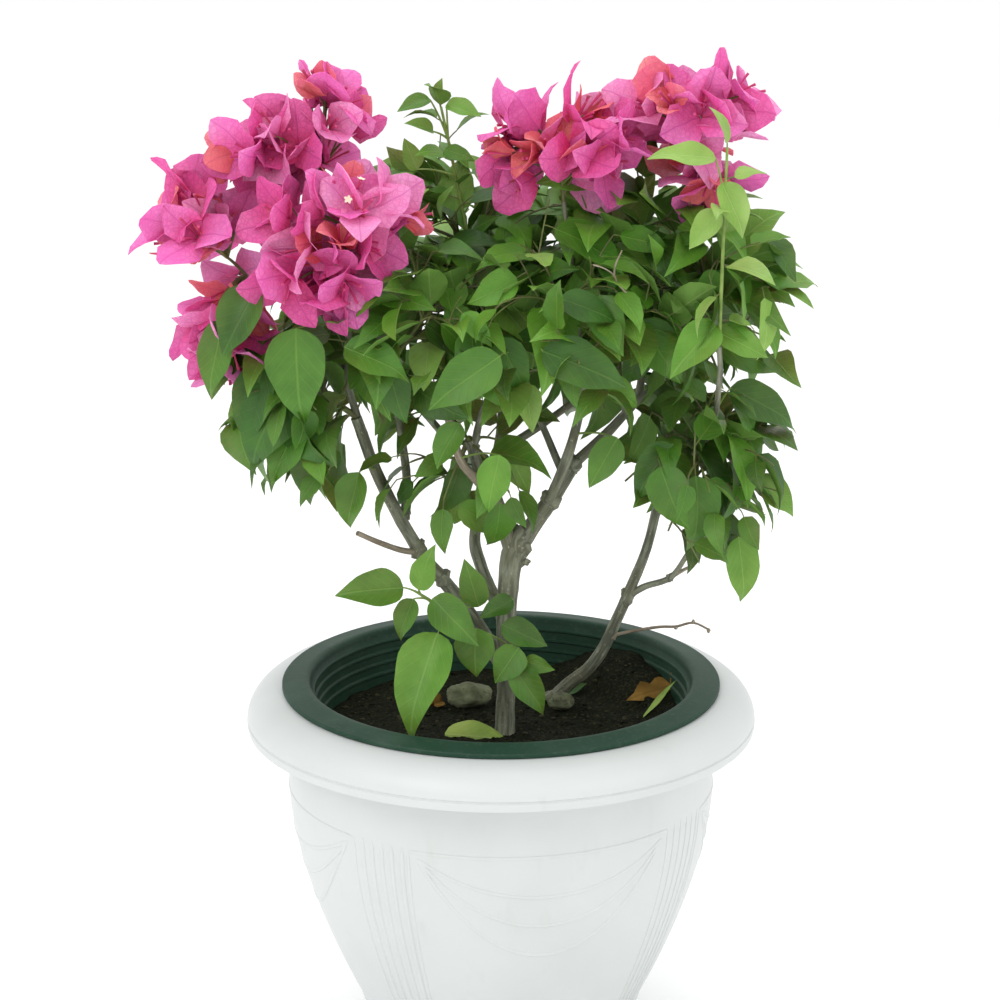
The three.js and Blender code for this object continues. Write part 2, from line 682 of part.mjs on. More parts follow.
function linerProfile() {
  const seat = lipTop + clearance;
  return [
    [0, linerFloor - 3], [linerInside(linerFloor), linerFloor - 3], [linerInside(seat) + 2.5, seat - 8],
    [linerInside(seat) + 3, seat], [linerFlange, seat], [linerFlange, seat + 3.6],
    [linerCrest, linerTop], [linerCrest - 2.5, linerTop - 1],
    [linerInside(linerFloor), linerFloor], [0, linerFloor],
  ];
}

function soilProfile() {
  const foot = linerFloor + clearance;
  return [
    [0, foot], [linerInside(linerFloor) - clearance - 0.1, foot],
    [linerInside(soilTop) - clearance - 0.1, soilTop], [0, soilTop],
  ];
}

function turned(profile, sides) {
  const points = profile.map(([radius, z]) => new THREE.Vector2(radius, z));
  return solidOf(new THREE.LatheGeometry(points, sides).rotateX(Math.PI / 2));
}

// A stone: a squashed and roughened ball, flat where it lies on the soil.
function stoneSolid({ centre, radii }, seed) {
  const ball = new THREE.IcosahedronGeometry(1, 1);
  const position = ball.getAttribute("position");
  for (let i = 0; i < position.count; i += 1) {
    const point = new THREE.Vector3().fromBufferAttribute(position, i);
    const keys = point.toArray().map((value) => Math.round(value * 50));
    point.multiplyScalar(between(0.86, 1.08, chance(seed, ...keys))).multiply(vector(radii));
    position.setXYZ(i, point.x + centre[0], point.y + centre[1], point.z + soilTop + radii[2] * 0.5);
  }
  return solidOf(ball).trimByPlane([0, 0, 1], soilTop + clearance);
}

// A shed leaf lies on the soil with its two sides curled up.
function shedLeaf({ base, tip, width, lift }) {
  const start = vector([...base, soilTop + clearance]);
  const along = vector([...tip, soilTop + clearance]).sub(start);
  const length = along.length();
  return bladeSolid({ base: start, along: along.normalize(), face: up, length, width, lift });
}

const planterWhite = material("#eef0ef", 0.45);
const linerGreen = material("#2d4b3c", 0.55);
const soilBrown = material("#2b211b", 0.95);
const stoneGrey = material("#8a8d84", 0.85);
const bark = material("#8b8578", 0.85);
const deadWood = material("#9a8f80", 0.9);
const leafGreen = material("#4f7f3c", 0.5);
const bractPink = material("#e0489f", 0.6);

addPiece("planter", turned(planterProfile(), potSides), planterWhite);
addPiece("liner_pot", turned(linerProfile(), potSides), linerGreen);
addPiece("soil", turned(soilProfile(), potSides), soilBrown);
stones.forEach((stone, number) => addPiece(stone.name, stoneSolid(stone, number), stoneGrey));
shedLeaves.forEach((leaf) => addPiece(leaf.name, shedLeaf(leaf), material(leaf.colour, 0.8)));

// Every limb stands clear of the soil and of the limbs built before it.
const cutters = [];
for (const limb of limbs) {
  let solid = limbSolid(limb, 0).trimByPlane([0, 0, 1], soilTop + clearance);
  for (const cutter of cutters) solid = solid.subtract(cutter);
  const dead = limb.name.startsWith("dead") || limb.name.startsWith("stub");
  addPiece(limb.name, largestBody(solid), dead ? deadWood : bark);
  cutters.push(limbSolid(limb, clearance));
}

// A mass: its twigs and blades fused, with a gap left round every limb.
function massSolid(mass) {
  const { twigs, blades } = growMass(mass);
  const parts = [...twigs.map(twigSolid), ...blades.map(bladeSolid)];
  const grown = cutters.reduce((solid, cutter) => solid.subtract(cutter), wasm.Manifold.union(parts));
  return largestBody(grown.simplify(0.03));
}

masses.forEach((mass, number) => {
  mass.seed = number + 1;
  addPiece(mass.name, massSolid(mass), mass.blooms ? bractPink : leafGreen);
});

export default plant;
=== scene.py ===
# A bougainvillea bush in bloom, in a white planter with a dark green liner pot: its looks.
# Metres, +Z up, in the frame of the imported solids. The front of the bush faces -Y.

import math

import bpy
import numpy as np
from mathutils import Matrix, Vector, noise


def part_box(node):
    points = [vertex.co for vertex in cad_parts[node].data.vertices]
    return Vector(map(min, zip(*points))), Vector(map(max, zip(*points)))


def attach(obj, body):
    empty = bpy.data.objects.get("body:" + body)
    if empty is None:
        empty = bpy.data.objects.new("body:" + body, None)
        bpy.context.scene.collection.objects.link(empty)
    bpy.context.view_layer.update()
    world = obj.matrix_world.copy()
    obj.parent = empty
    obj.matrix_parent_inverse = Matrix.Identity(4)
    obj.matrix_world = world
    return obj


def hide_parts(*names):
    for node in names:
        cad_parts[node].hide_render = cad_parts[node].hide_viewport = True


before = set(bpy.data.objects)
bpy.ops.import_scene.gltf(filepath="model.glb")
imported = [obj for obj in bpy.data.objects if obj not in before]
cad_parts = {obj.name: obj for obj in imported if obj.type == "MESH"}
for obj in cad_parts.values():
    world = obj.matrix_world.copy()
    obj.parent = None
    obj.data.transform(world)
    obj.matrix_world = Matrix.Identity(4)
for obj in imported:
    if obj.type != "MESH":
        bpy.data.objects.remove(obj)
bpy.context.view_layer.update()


def measured(node):
    """How far a node's solid reaches from the axis and how high, to a hundredth of a millimetre."""
    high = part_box(node)[1]
    return round(high.y, 5), round(high.z, 5)


# Sizes of the planter
LIP_RADIUS, LIP_TOP = measured("planter")
LIP_HEIGHT = 0.025
BODY_TOP_RADIUS = 0.168
BODY_TOP = 0.206
WAIST_RADIUS = 0.111
FOOT_HEIGHT = 0.028
BODY_BULGE = 1.6
WALL = 0.004
FLOOR_HEIGHT = 0.005
TURNED_STEPS = 160

# The relief on the planter: angles in degrees round from its front, heights in metres.
# BEAD is half a raised line's width, and BEAD_RISE its height as a share of that.
PANEL_TURN = 12.3
PANEL_HALF = 36.6
PANEL_TOP = 0.208
PANEL_FOOT = 0.034
FESTOON_LOWS = (0.1745, 0.149, 0.1215)
FESTOON_DROP = 0.005
FESTOON_INSET = 2.5
FESTOON_CURVE = 2.1
FLUTES = 5
FLUTE_STEP = 3
BEAD = 0.0015
BEAD_RISE = 0.4

# Sizes of the liner pot
LINER_FLANGE, LINER_TOP = measured("liner_pot")
LINER_CREST = 0.152
LINER_FLOOR = 0.012
LINER_THICKNESS = 0.003
FLOOR_RADIUS = 0.102
MOUTH_RADIUS = 0.1495
RIBS = 4
RIB_STEP = 0.0085

# The soil: flat, but for a slope up to the right and a heap against the liner at the back right.
# The heap's middle and half its width are in degrees from the right, towards the back.
# SOIL_ROUGHNESS has crumbs, clods and grains: how many to the metre, a layer of the noise, and the rise.
SOIL_TOP = measured("soil")[1]
SOIL_CUT = 0.012
SOIL_UNDER_RADIUS = 0.139
SOIL_GAP = 0.0005
SLOPE_RISE = 0.009
SLOPE_START = 0.07
SLOPE_RUN = 0.07
HEAP_TURN = 44
HEAP_HALF = 34
HEAP_RISE = 0.02
HEAP_START = 0.085
HEAP_RUN = 0.06
SOIL_ROUGHNESS = ((160, 0.3, 0.0011), (55, 1.7, 0.0022), (420, 2.9, 0.0007))
CRUMBS = 900
CRUMB_REACH = 0.135
CRUMB_SIZES = (0.0006, 0.0026)

# Limbs: how deep they may reach into the soil, the step between their rings, the swellings of old leaf
# joints on their bark, how fine its ridges and lumps are round and along the limb, per metre, and how
# strong all of it is
SUNK = 0.004
LIMB_STEP = 0.0035
JOINT_SPACING = 0.026
JOINT_REACH = 0.0022
RIDGES = (420, 45)
LUMPS = (70, 60)
BARK_RELIEF = 0.08

# Sizes of twigs, leaves, bracts and flowers; widths are shares of the length. OPEN_SHARE of the flowers
# are open. Bracts that have just opened spread less and are shorter, each by a factor of its own.
STEM_RADIUS = 0.0026
SHOOT_RADIUS = 0.0016
TWIG_RADIUS = 0.0013
SPRIG_RADIUS = 0.0008
STALK_RADIUS = 0.0005
LEAF_WIDTH = 0.57
BRACT_LENGTH = 0.044
BRACT_WIDTH = 0.84
BLADE_THICKNESS = 0.0003
STALK_LENGTHS = (0.004, 0.011)
BLOOM_STALK_LENGTHS = (0.006, 0.016)
FLOWER_LENGTHS = (0.015, 0.024)
FLOWER_RADII = np.array([0.0006, 0.0007, 0.0007, 0.0008, 0.0012])
STAR_REACHES = (0.0034, 0.0028, 0.0019, 0.0028)
OPEN_SHARE = 0.035
YOUNG_OPENING = 0.65
YOUNG_SIZE = 0.8
BARE_RADII = (0.0009, 0.0005)

UP = Vector((0, 0, 1))
FRONT = Vector((0, -1, 0))
ASIDE = Vector((0.31, 0.17, 0.93))
CROWN_HEART = Vector((0, 0.01, 0.52))
GOLDEN_ANGLE = math.radians(137.5)

# Growth: a stem starts ROOTED inside its limb and goes on past the middle of its space by a share of the
# way there. Nothing else grows nearer to a limb than LIMB_MARGIN. Side twigs end between two shares of
# their lobe's radii. The twigs of the leaves that stand out are numbered from OWN_NUMBERS and start no
# lower than LOWEST_FOOT.
ROOTED = 0.002
STEM_PAST = 0.3
LIMB_MARGIN = 0.0015
LEAF_TWIG_ENDS = (0.4, 0.85)
BLOOM_TWIG_ENDS = (0.25, 0.7)
OWN_NUMBERS = 50
LOWEST_FOOT = 0.3

# Where stems and twigs start to bear and where they stop, as shares of their length
SHOOT_BARE = 0.14
STEM_BARE = 0.35
TWIG_BARE = 0.3
SPRIG_BARE = 0.55
LAST_NODE = 0.985

# How much leaves and blooms point aside from their twig and onward: along the twig, and at its tip
LEAF_WAYS = ((0.8, 0.25), (0.3, 0.6))
BLOOM_WAYS = ((0.6, 0.3), (0.2, 0.7))

# How far lines arch: the rise of their middle as a share of their length
SHOOT_ARCH = 0.04
STEM_ARCH = 0.12
TWIG_ARCH = 0.22
SPRIG_ARCH = 0.15

# How the growth here is finer than in the solids
TWIG_SHARE = 1.7
LEAF_SHARE = 0.86
LEAF_SPACING = 0.0135
LEAF_ROOM = 0.24
BLOOM_SPACING = 0.014
BLOOM_APART = 0.021
SPRIG_FORKS = (0.45, 0.68, 0.86)
SPRIG_LENGTHS = (0.026, 0.044)
TRIES = 6

# The camera stands where the planter's rims look as they do in the photo
CAMERA_PLACE = (0, -2.06732, 1.01044)
CAMERA_TILT = math.radians(90 - 15.5)
CAMERA_LENS = 99.8
CAMERA_SHIFT = -0.001

# The sky's strength, the place that the lamps are turned to, and each lamp's name, place, size and power
WORLD_LIGHT = 1.02
LIT_PLACE = Vector((0, 0, 0.45))
STUDIO_LIGHTS = [
    ("key", (-1.8, -2.2, 2.6), 1.8, 30),
    ("fill", (2.2, -1.6, 1.8), 2.0, 8),
    ("top", (0.2, 0.6, 3.0), 2.2, 22),
]

# Limbs: each is one tapering tube through a few points. radius holds the foot's and the tip's, flare
# widens the foot, and fork swells the tip.
LIMBS = [
    {"name": "trunk_main",
     "path": [(0.003, -0.012, 0.244), (0.004, -0.012, 0.29), (0.004, -0.012, 0.345),
              (0.008, -0.011, 0.39), (0.014, -0.01, 0.405)],
     "radius": (0.0068, 0.0078), "flare": 0.0024, "fork": 0.0022},
    {"name": "trunk_left",
     "path": [(0.001, -0.008, 0.306), (-0.012, 0.003, 0.323), (-0.026, 0.002, 0.345),
              (-0.045, -0.004, 0.373), (-0.063, -0.01, 0.398), (-0.092, -0.016, 0.455),
              (-0.11, -0.024, 0.508)],
     "radius": (0.006, 0.0042), "flare": 0.001},
    {"name": "trunk_back",
     "path": [(0.004, -0.008, 0.338), (-0.005, 0.007, 0.354), (-0.016, 0.023, 0.377),
              (-0.02, 0.033, 0.404), (-0.002, 0.046, 0.466), (0.003, 0.062, 0.52)],
     "radius": (0.005, 0.0038), "flare": 0.001},
    {"name": "trunk_right",
     "path": [(0.038, 0.066, 0.244), (0.055, 0.057, 0.266), (0.07, 0.05, 0.281),
              (0.083, 0.044, 0.303), (0.098, 0.035, 0.342), (0.114, 0.025, 0.388),
              (0.123, 0.017, 0.43), (0.129, 0.01, 0.452), (0.15, 0, 0.48)],
     "radius": (0.0054, 0.0029), "flare": 0.0008},
    {"name": "bough_right",
     "path": [(0.011, -0.01, 0.398), (0.026, -0.006, 0.42),
              (0.039, 0, 0.437), (0.059, 0.012, 0.466)],
     "radius": (0.0076, 0.005)},
    {"name": "bough_left_fork",
     "path": [(0.008, -0.011, 0.398), (-0.004, -0.02, 0.443),
              (-0.016, -0.03, 0.468), (-0.024, -0.037, 0.494)],
     "radius": (0.006, 0.0036)},
    {"name": "bough_centre",
     "path": [(0.038, -0.001, 0.436), (0.047, -0.01, 0.462),
              (0.057, -0.024, 0.5), (0.065, -0.036, 0.545)],
     "radius": (0.0048, 0.0028)},
    {"name": "bough_right_high",
     "path": [(0.056, 0.011, 0.462), (0.09, 0.024, 0.492),
              (0.108, 0.027, 0.52), (0.104, 0.022, 0.58)],
     "radius": (0.0043, 0.0022)},
    {"name": "bough_right_out",
     "path": [(0.096, 0.026, 0.5), (0.124, 0.01, 0.53), (0.148, -0.002, 0.565)],
     "radius": (0.003, 0.002)},
    {"name": "bough_left_mid",
     "path": [(-0.074, -0.011, 0.424), (-0.073, 0.002, 0.455),
              (-0.078, -0.018, 0.505), (-0.084, -0.036, 0.548)],
     "radius": (0.0038, 0.0024)},
    {"name": "bough_cross",
     "path": [(-0.021, -0.035, 0.486), (-0.013, -0.044, 0.52),
              (0.003, -0.05, 0.55), (0.024, -0.054, 0.578)],
     "radius": (0.003, 0.0021)},
    {"name": "bough_back_left",
     "path": [(-0.014, 0.039, 0.44), (-0.05, 0.055, 0.48), (-0.088, 0.066, 0.524)],
     "radius": (0.0036, 0.0022)},
    {"name": "bough_back_right",
     "path": [(-0.003, 0.045, 0.462), (0.044, 0.06, 0.49), (0.092, 0.072, 0.526)],
     "radius": (0.0036, 0.0022)},
    {"name": "bough_core",
     "path": [(0.047, -0.009, 0.461), (0.024, 0.012, 0.51), (-0.008, 0.022, 0.566)],
     "radius": (0.003, 0.002)},
    {"name": "bough_mid_high",
     "path": [(0.002, 0.058, 0.508), (-0.008, 0.036, 0.57), (-0.026, -0.006, 0.648)],
     "radius": (0.003, 0.0018)},
    {"name": "bough_shoot_right",
     "path": [(0.134, 0.012, 0.458), (0.158, -0.028, 0.496),
              (0.161, -0.076, 0.55), (0.159, -0.09, 0.578)],
     "radius": (0.0026, 0.002)},
    {"name": "bough_right_side",
     "path": [(0.101, 0.034, 0.348), (0.114, 0.027, 0.358), (0.134, 0.017, 0.369),
              (0.148, 0.004, 0.395), (0.163, -0.012, 0.416)],
     "radius": (0.0029, 0.0015)},
    {"name": "bough_sprout",
     "path": [(-0.027, 0.001, 0.346), (-0.039, -0.026, 0.352), (-0.05, -0.046, 0.366)],
     "radius": (0.0026, 0.0018)},
    {"name": "bough_flowers_left",
     "path": [(-0.107, -0.022, 0.5), (-0.122, -0.03, 0.56),
              (-0.132, -0.036, 0.625), (-0.134, -0.038, 0.668)],
     "radius": (0.0032, 0.0018)},
    {"name": "bough_flowers_outer",
     "path": [(-0.127, -0.033, 0.588), (-0.16, -0.046, 0.604), (-0.188, -0.052, 0.622)],
     "radius": (0.0023, 0.0016)},
    {"name": "bough_flowers_inner",
     "path": [(-0.117, -0.027, 0.54), (-0.112, -0.056, 0.58), (-0.112, -0.074, 0.624)],
     "radius": (0.0023, 0.0016)},
    {"name": "bough_flowers_right",
     "path": [(0.06, -0.029, 0.52), (0.056, -0.032, 0.6), (0.046, -0.042, 0.676)],
     "radius": (0.0024, 0.0016)},
    {"name": "bough_flowers_far",
     "path": [(0.107, 0.026, 0.54), (0.128, 0.01, 0.61), (0.146, -0.008, 0.672)],
     "radius": (0.0024, 0.0016)},
    {"name": "stub_centre",
     "path": [(-0.002, -0.018, 0.436), (-0.018, -0.038, 0.462),
              (-0.031, -0.048, 0.482), (-0.04, -0.06, 0.519)],
     "radius": (0.0038, 0.003)},
    {"name": "stub_left",
     "path": [(-0.06, -0.007, 0.396), (-0.076, -0.021, 0.402),
              (-0.093, -0.034, 0.412), (-0.109, -0.046, 0.423)],
     "radius": (0.0026, 0.0019)},
    {"name": "dead_fork",
     "path": [(0.134, 0.016, 0.369), (0.143, 0.015, 0.375), (0.152, 0.014, 0.38)],
     "radius": (0.0016, 0.0011)},
    {"name": "dead_twig",
     "path": [(0.087, 0.041, 0.312), (0.105, 0.031, 0.3195), (0.125, 0.02, 0.3265),
              (0.138, 0.012, 0.3295), (0.151, 0.0045, 0.335), (0.163, -0.004, 0.332)],
     "radius": (0.0015, 0.0008)},
]

# Masses of leaves and blossom. Each keeps to an ellipsoid, or to its lobes where it has any. Its stem
# starts at its limb's tip, unless it has a foot of its own, and ends at reach where that is given. Leaves
# grow apart by every where it is given, and none do where it is 0. open is kept free of leaves.
# Each entry under leaves is one leaf that stands out: where its blade starts and ends, and its width where
# it isn't the usual one. young is how many of the blooms are small and coral, as a share.
MASSES = [
    {"name": "leaves_left", "from": "trunk_left", "centre": (-0.142, -0.044, 0.53),
     "radii": (0.078, 0.074, 0.09), "twigs": 6, "leaf": 0.07, "droop": 0.8,
     "leaves": [
         ((-0.149, -0.096, 0.592), (-0.146, -0.106, 0.523), 0.66),
         ((-0.158, -0.078, 0.549), (-0.187, -0.084, 0.483), 0.66),
         ((-0.176, -0.1, 0.623), (-0.2, -0.112, 0.574), 0.62),
         ((-0.201, -0.095, 0.598), (-0.213, -0.102, 0.543), 0.5),
         ((-0.175, -0.07, 0.559), (-0.189, -0.078, 0.499)),
         ((-0.148, -0.08, 0.522), (-0.171, -0.084, 0.471)),
         ((-0.133, -0.066, 0.516), (-0.147, -0.07, 0.452)),
         ((-0.206, -0.044, 0.58), (-0.216, -0.052, 0.528)),
         ((-0.106, -0.066, 0.476), (-0.116, -0.066, 0.432)),
     ]},
    {"name": "leaves_front_left", "from": "bough_left_mid", "centre": (-0.058, -0.06, 0.588),
     "radii": (0.096, 0.078, 0.092), "twigs": 6, "leaf": 0.07, "droop": 0.8,
     "leaves": [
         ((-0.113, -0.104, 0.58), (-0.066, -0.112, 0.561)),
         ((-0.001, -0.112, 0.575), (-0.053, -0.12, 0.538)),
         ((-0.082, -0.092, 0.562), (-0.071, -0.096, 0.52)),
     ]},
    {"name": "leaves_front_right", "from": "bough_centre", "centre": (0.048, -0.06, 0.592),
     "radii": (0.096, 0.078, 0.094), "twigs": 6, "leaf": 0.07, "droop": 0.8,
     "leaves": [
         ((0.03, -0.112, 0.579), (0.092, -0.114, 0.553)),
         ((0.043, -0.104, 0.616), (0.084, -0.106, 0.6)),
     ]},
    {"name": "leaves_right", "from": "bough_right_out", "centre": (0.152, -0.012, 0.606),
     "radii": (0.088, 0.09, 0.098), "twigs": 7, "leaf": 0.068, "droop": 0.9,
     "leaves": [
         ((0.182, -0.02, 0.617), (0.222, -0.022, 0.594)),
     ]},
    {"name": "leaves_lower_right", "from": "trunk_right", "centre": (0.155, -0.018, 0.47),
     "radii": (0.078, 0.08, 0.085), "twigs": 7, "leaf": 0.066, "droop": 0.9,
     "open": [((0.112, -0.03, 0.41), (0.034, 0.1, 0.045))],
     "leaves": [
         ((0.129, -0.044, 0.492), (0.099, -0.05, 0.451)),
         ((0.181, -0.04, 0.418), (0.187, -0.042, 0.366)),
         ((0.172, -0.042, 0.535), (0.222, -0.046, 0.508)),
         ((0.196, -0.02, 0.46), (0.226, -0.022, 0.43)),
     ]},
    {"name": "leaves_low_centre", "from": "bough_left_fork", "centre": (-0.03, -0.03, 0.478),
     "radii": (0.09, 0.066, 0.078), "twigs": 5, "leaf": 0.05, "droop": 0.5,
     "leaves": [
         ((0.087, -0.056, 0.5), (0.065, -0.062, 0.463)),
         ((-0.001, -0.084, 0.494), (-0.011, -0.086, 0.45)),
         ((-0.03, -0.084, 0.518), (-0.05, -0.084, 0.484)),
     ]},
    {"name": "leaves_back_left", "from": "bough_back_left", "centre": (-0.106, 0.072, 0.556),
     "radii": (0.096, 0.086, 0.108), "twigs": 7, "leaf": 0.076, "droop": 0.8},
    {"name": "leaves_back", "from": "trunk_back", "centre": (0, 0.106, 0.56),
     "radii": (0.094, 0.084, 0.112), "twigs": 7, "leaf": 0.076, "droop": 0.8},
    {"name": "leaves_back_right", "from": "bough_back_right", "centre": (0.11, 0.082, 0.556),
     "radii": (0.094, 0.088, 0.11), "twigs": 7, "leaf": 0.076, "droop": 0.8},
    {"name": "leaves_core", "from": "bough_core", "centre": (-0.034, 0.014, 0.64),
     "radii": (0.104, 0.074, 0.082), "twigs": 7, "leaf": 0.066, "droop": 0.4},
    {"name": "leaves_top_right", "from": "bough_right_high", "centre": (0.084, -0.004, 0.64),
     "radii": (0.098, 0.084, 0.084), "twigs": 7, "leaf": 0.066, "droop": 0.5},
    {"name": "shoot_mid", "from": "bough_mid_high", "centre": (-0.044, -0.024, 0.708),
     "radii": (0.054, 0.054, 0.08), "twigs": 0, "leaf": 0.04, "droop": 0.1,
     "reach": (-0.044, -0.03, 0.744), "every": 0.011,
     "leaves": [
         ((-0.052, -0.034, 0.75), (-0.076, -0.044, 0.742)),
         ((-0.04, -0.034, 0.746), (-0.014, -0.044, 0.738)),
         ((-0.046, -0.03, 0.75), (-0.043, -0.036, 0.766)),
         ((-0.05, -0.03, 0.726), (-0.07, -0.04, 0.734)),
         ((-0.042, -0.026, 0.712), (-0.02, -0.036, 0.706)),
         ((-0.062, -0.03, 0.698), (-0.072, -0.036, 0.722)),
     ]},
    {"name": "shoot_right", "from": "bough_shoot_right", "centre": (0.156, -0.098, 0.65),
     "radii": (0.08, 0.06, 0.122), "twigs": 0, "leaf": 0.04, "droop": 0.7,
     "reach": (0.16, -0.112, 0.726), "every": 0.02,
     "leaves": [
         ((0.152, -0.11, 0.718), (0.104, -0.114, 0.722), 0.42),
         ((0.157, -0.108, 0.7), (0.173, -0.116, 0.663)),
         ((0.155, -0.104, 0.679), (0.134, -0.112, 0.653)),
         ((0.156, -0.092, 0.594), (0.122, -0.108, 0.56)),
         ((0.157, -0.086, 0.588), (0.194, -0.096, 0.569)),
     ]},
    {"name": "sprout_left", "from": "bough_sprout", "centre": (-0.08, -0.062, 0.352),
     "radii": (0.09, 0.068, 0.09), "twigs": 0, "every": 0,
     "reach": (-0.066, -0.049, 0.378),
     "leaves": [
         ((-0.0746, -0.05, 0.381), (-0.1255, -0.062, 0.38)),
         ((-0.0482, -0.056, 0.346), (-0.0742, -0.092, 0.2764), 0.52),
         ((-0.0518, -0.056, 0.3743), (-0.0171, -0.074, 0.342)),
         ((-0.063, -0.052, 0.38), (-0.052, -0.056, 0.415)),
         ((-0.067, -0.044, 0.37), (-0.079, -0.05, 0.339)),
     ]},
    {"name": "sprout_front", "from": "trunk_main", "centre": (0, -0.05, 0.322),
     "radii": (0.062, 0.054, 0.08), "twigs": 0, "every": 0,
     "foot": (0.002, -0.012, 0.306), "reach": (0.012, -0.048, 0.334),
     "leaves": [
         ((0.0137, -0.054, 0.334), (-0.0047, -0.062, 0.308), 0.8),
         ((0.01, -0.056, 0.318), (0.034, -0.064, 0.284)),
         ((0.001, -0.046, 0.35), (0.036, -0.05, 0.334)),
         ((-0.0196, -0.05, 0.348), (-0.0208, -0.058, 0.3116), 0.85),
         ((-0.017, -0.038, 0.362), (-0.028, -0.04, 0.4)),
         ((0.009, -0.04, 0.368), (-0.017, -0.046, 0.356)),
         ((0.018, -0.05, 0.322), (0.041, -0.056, 0.316)),
     ]},
    {"name": "flowers_left_top", "from": "bough_flowers_left", "centre": (-0.13, -0.034, 0.724),
     "radii": (0.086, 0.078, 0.084), "twigs": 8, "blooms": True, "young": 0.16,
     "lobes": [((-0.12, -0.034, 0.746), (0.031, 0.034, 0.044)),
               ((-0.166, -0.045, 0.712), (0.05, 0.04, 0.032))]},
    {"name": "flowers_left_outer", "from": "bough_flowers_outer", "centre": (-0.2, -0.052, 0.634),
     "radii": (0.09, 0.08, 0.128), "twigs": 13, "blooms": True, "young": 0.2,
     "lobes": [((-0.218, -0.052, 0.664), (0.048, 0.05, 0.042)),
               ((-0.205, -0.055, 0.582), (0.026, 0.036, 0.048))]},
    {"name": "flowers_left_inner", "from": "bough_flowers_inner", "centre": (-0.112, -0.092, 0.664),
     "radii": (0.098, 0.08, 0.084), "twigs": 10, "blooms": True, "young": 0.12,
     "lobes": [((-0.114, -0.092, 0.67), (0.07, 0.044, 0.042)),
               ((-0.133, -0.095, 0.63), (0.042, 0.038, 0.03))]},
    {"name": "flowers_right_inner", "from": "bough_flowers_right", "centre": (0.042, -0.046, 0.716),
     "radii": (0.096, 0.084, 0.08), "twigs": 9, "blooms": True, "young": 0.36,
     "lobes": [((0.01, -0.05, 0.718), (0.026, 0.034, 0.034)),
               ((0.066, -0.05, 0.722), (0.042, 0.038, 0.036))]},
    {"name": "flowers_right_far", "from": "bough_flowers_far", "centre": (0.14, -0.034, 0.726),
     "radii": (0.102, 0.084, 0.09), "twigs": 10, "blooms": True, "young": 0.28,
     "lobes": [((0.134, -0.04, 0.746), (0.07, 0.042, 0.034)),
               ((0.158, -0.05, 0.692), (0.018, 0.026, 0.026))]},
]

# Leafless twigs in front of the crown
BARE_TWIGS = [
    [(0.094, -0.085, 0.606), (0.093, -0.1, 0.616), (0.084, -0.108, 0.627), (0.081, -0.11, 0.634),
     (0.074, -0.11, 0.639), (0.066, -0.11, 0.6415)],
    [(0.081, -0.11, 0.633), (0.082, -0.111, 0.642), (0.0865, -0.112, 0.6525)],
]

# Knots and buds, where limbs fork or were cut: the place, the radius and how much taller than wide
KNOTS = {
    "trunk_main": [
        ((0.0125, -0.0108, 0.403), 0.0098, 1.5), ((0.0195, -0.0165, 0.391), 0.003, 0.9)],
    "trunk_left": [
        ((-0.0455, -0.0055, 0.3745), 0.0066, 1.1), ((-0.064, -0.0105, 0.4), 0.0064, 1.3)],
    "trunk_back": [
        ((-0.018, 0.036, 0.421), 0.0056, 1.4)],
    "trunk_right": [
        ((0.1, 0.0335, 0.347), 0.0056, 1.3), ((0.1245, 0.0155, 0.427), 0.005, 1.3),
        ((0.1315, 0.008, 0.455), 0.0048, 1.1), ((0.0405, 0.062, 0.2525), 0.0068, 0.8)],
    "bough_right": [
        ((0.056, 0.0105, 0.462), 0.0068, 1.1), ((0.0385, -0.0005, 0.4365), 0.0076, 1.1)],
    "bough_left_fork": [
        ((-0.0015, -0.0175, 0.434), 0.0056, 1.3), ((-0.0215, -0.0355, 0.488), 0.0046, 1.1)],
    "bough_cross": [
        ((0.0225, -0.0538, 0.5745), 0.0042, 1.2)],
    "bough_right_high": [
        ((0.098, 0.026, 0.503), 0.0046, 1.1), ((0.107, 0.0265, 0.536), 0.0036, 1.4)],
    "bough_right_side": [
        ((0.133, 0.0175, 0.3685), 0.0034, 1.0)],
    "dead_twig": [
        ((0.0885, 0.0405, 0.3125), 0.0036, 1.1), ((0.138, 0.012, 0.3285), 0.0016, 0.9),
        ((0.151, 0.0045, 0.336), 0.0013, 1.3), ((0.1625, -0.0036, 0.331), 0.0014, 1.4)],
}


# Numbers and curves

def chance(*keys):
    """The same number from 0 to 1 for the same keys, as in the solids. One key is the draw's own."""
    value = 2166136261
    for key in keys:
        value = ((value ^ (key + 101)) * 16777619) & 0xFFFFFFFF
        value ^= value >> 13
        value = (value * 2246822507) & 0xFFFFFFFF
        value ^= value >> 16
    return value / 4294967296


def between(low, high, share):
    """The value at a share of the way from low to high."""
    return low + (high - low) * share


def square_to(along, wanted):
    """A unit vector square to along, as near to wanted as it can be."""
    return (wanted - along * wanted.dot(along)).normalized()


def turned_about(vector, axis, angle):
    """A vector turned about an axis by an angle in radians."""
    return Matrix.Rotation(angle, 3, axis) @ vector


def lengths_along(line):
    """How far along a line each of its points lies."""
    steps = np.linalg.norm(np.diff(line, axis=0), axis=1)
    return np.concatenate([[0], np.cumsum(steps)])


def evenly(points, count):
    """That many points, evenly spaced along a line of points."""
    line = np.array([tuple(point) for point in points])
    lengths = lengths_along(line)
    wanted = np.linspace(0, lengths[-1], count)
    return np.stack([np.interp(wanted, lengths, line[:, i]) for i in range(3)], axis=1)


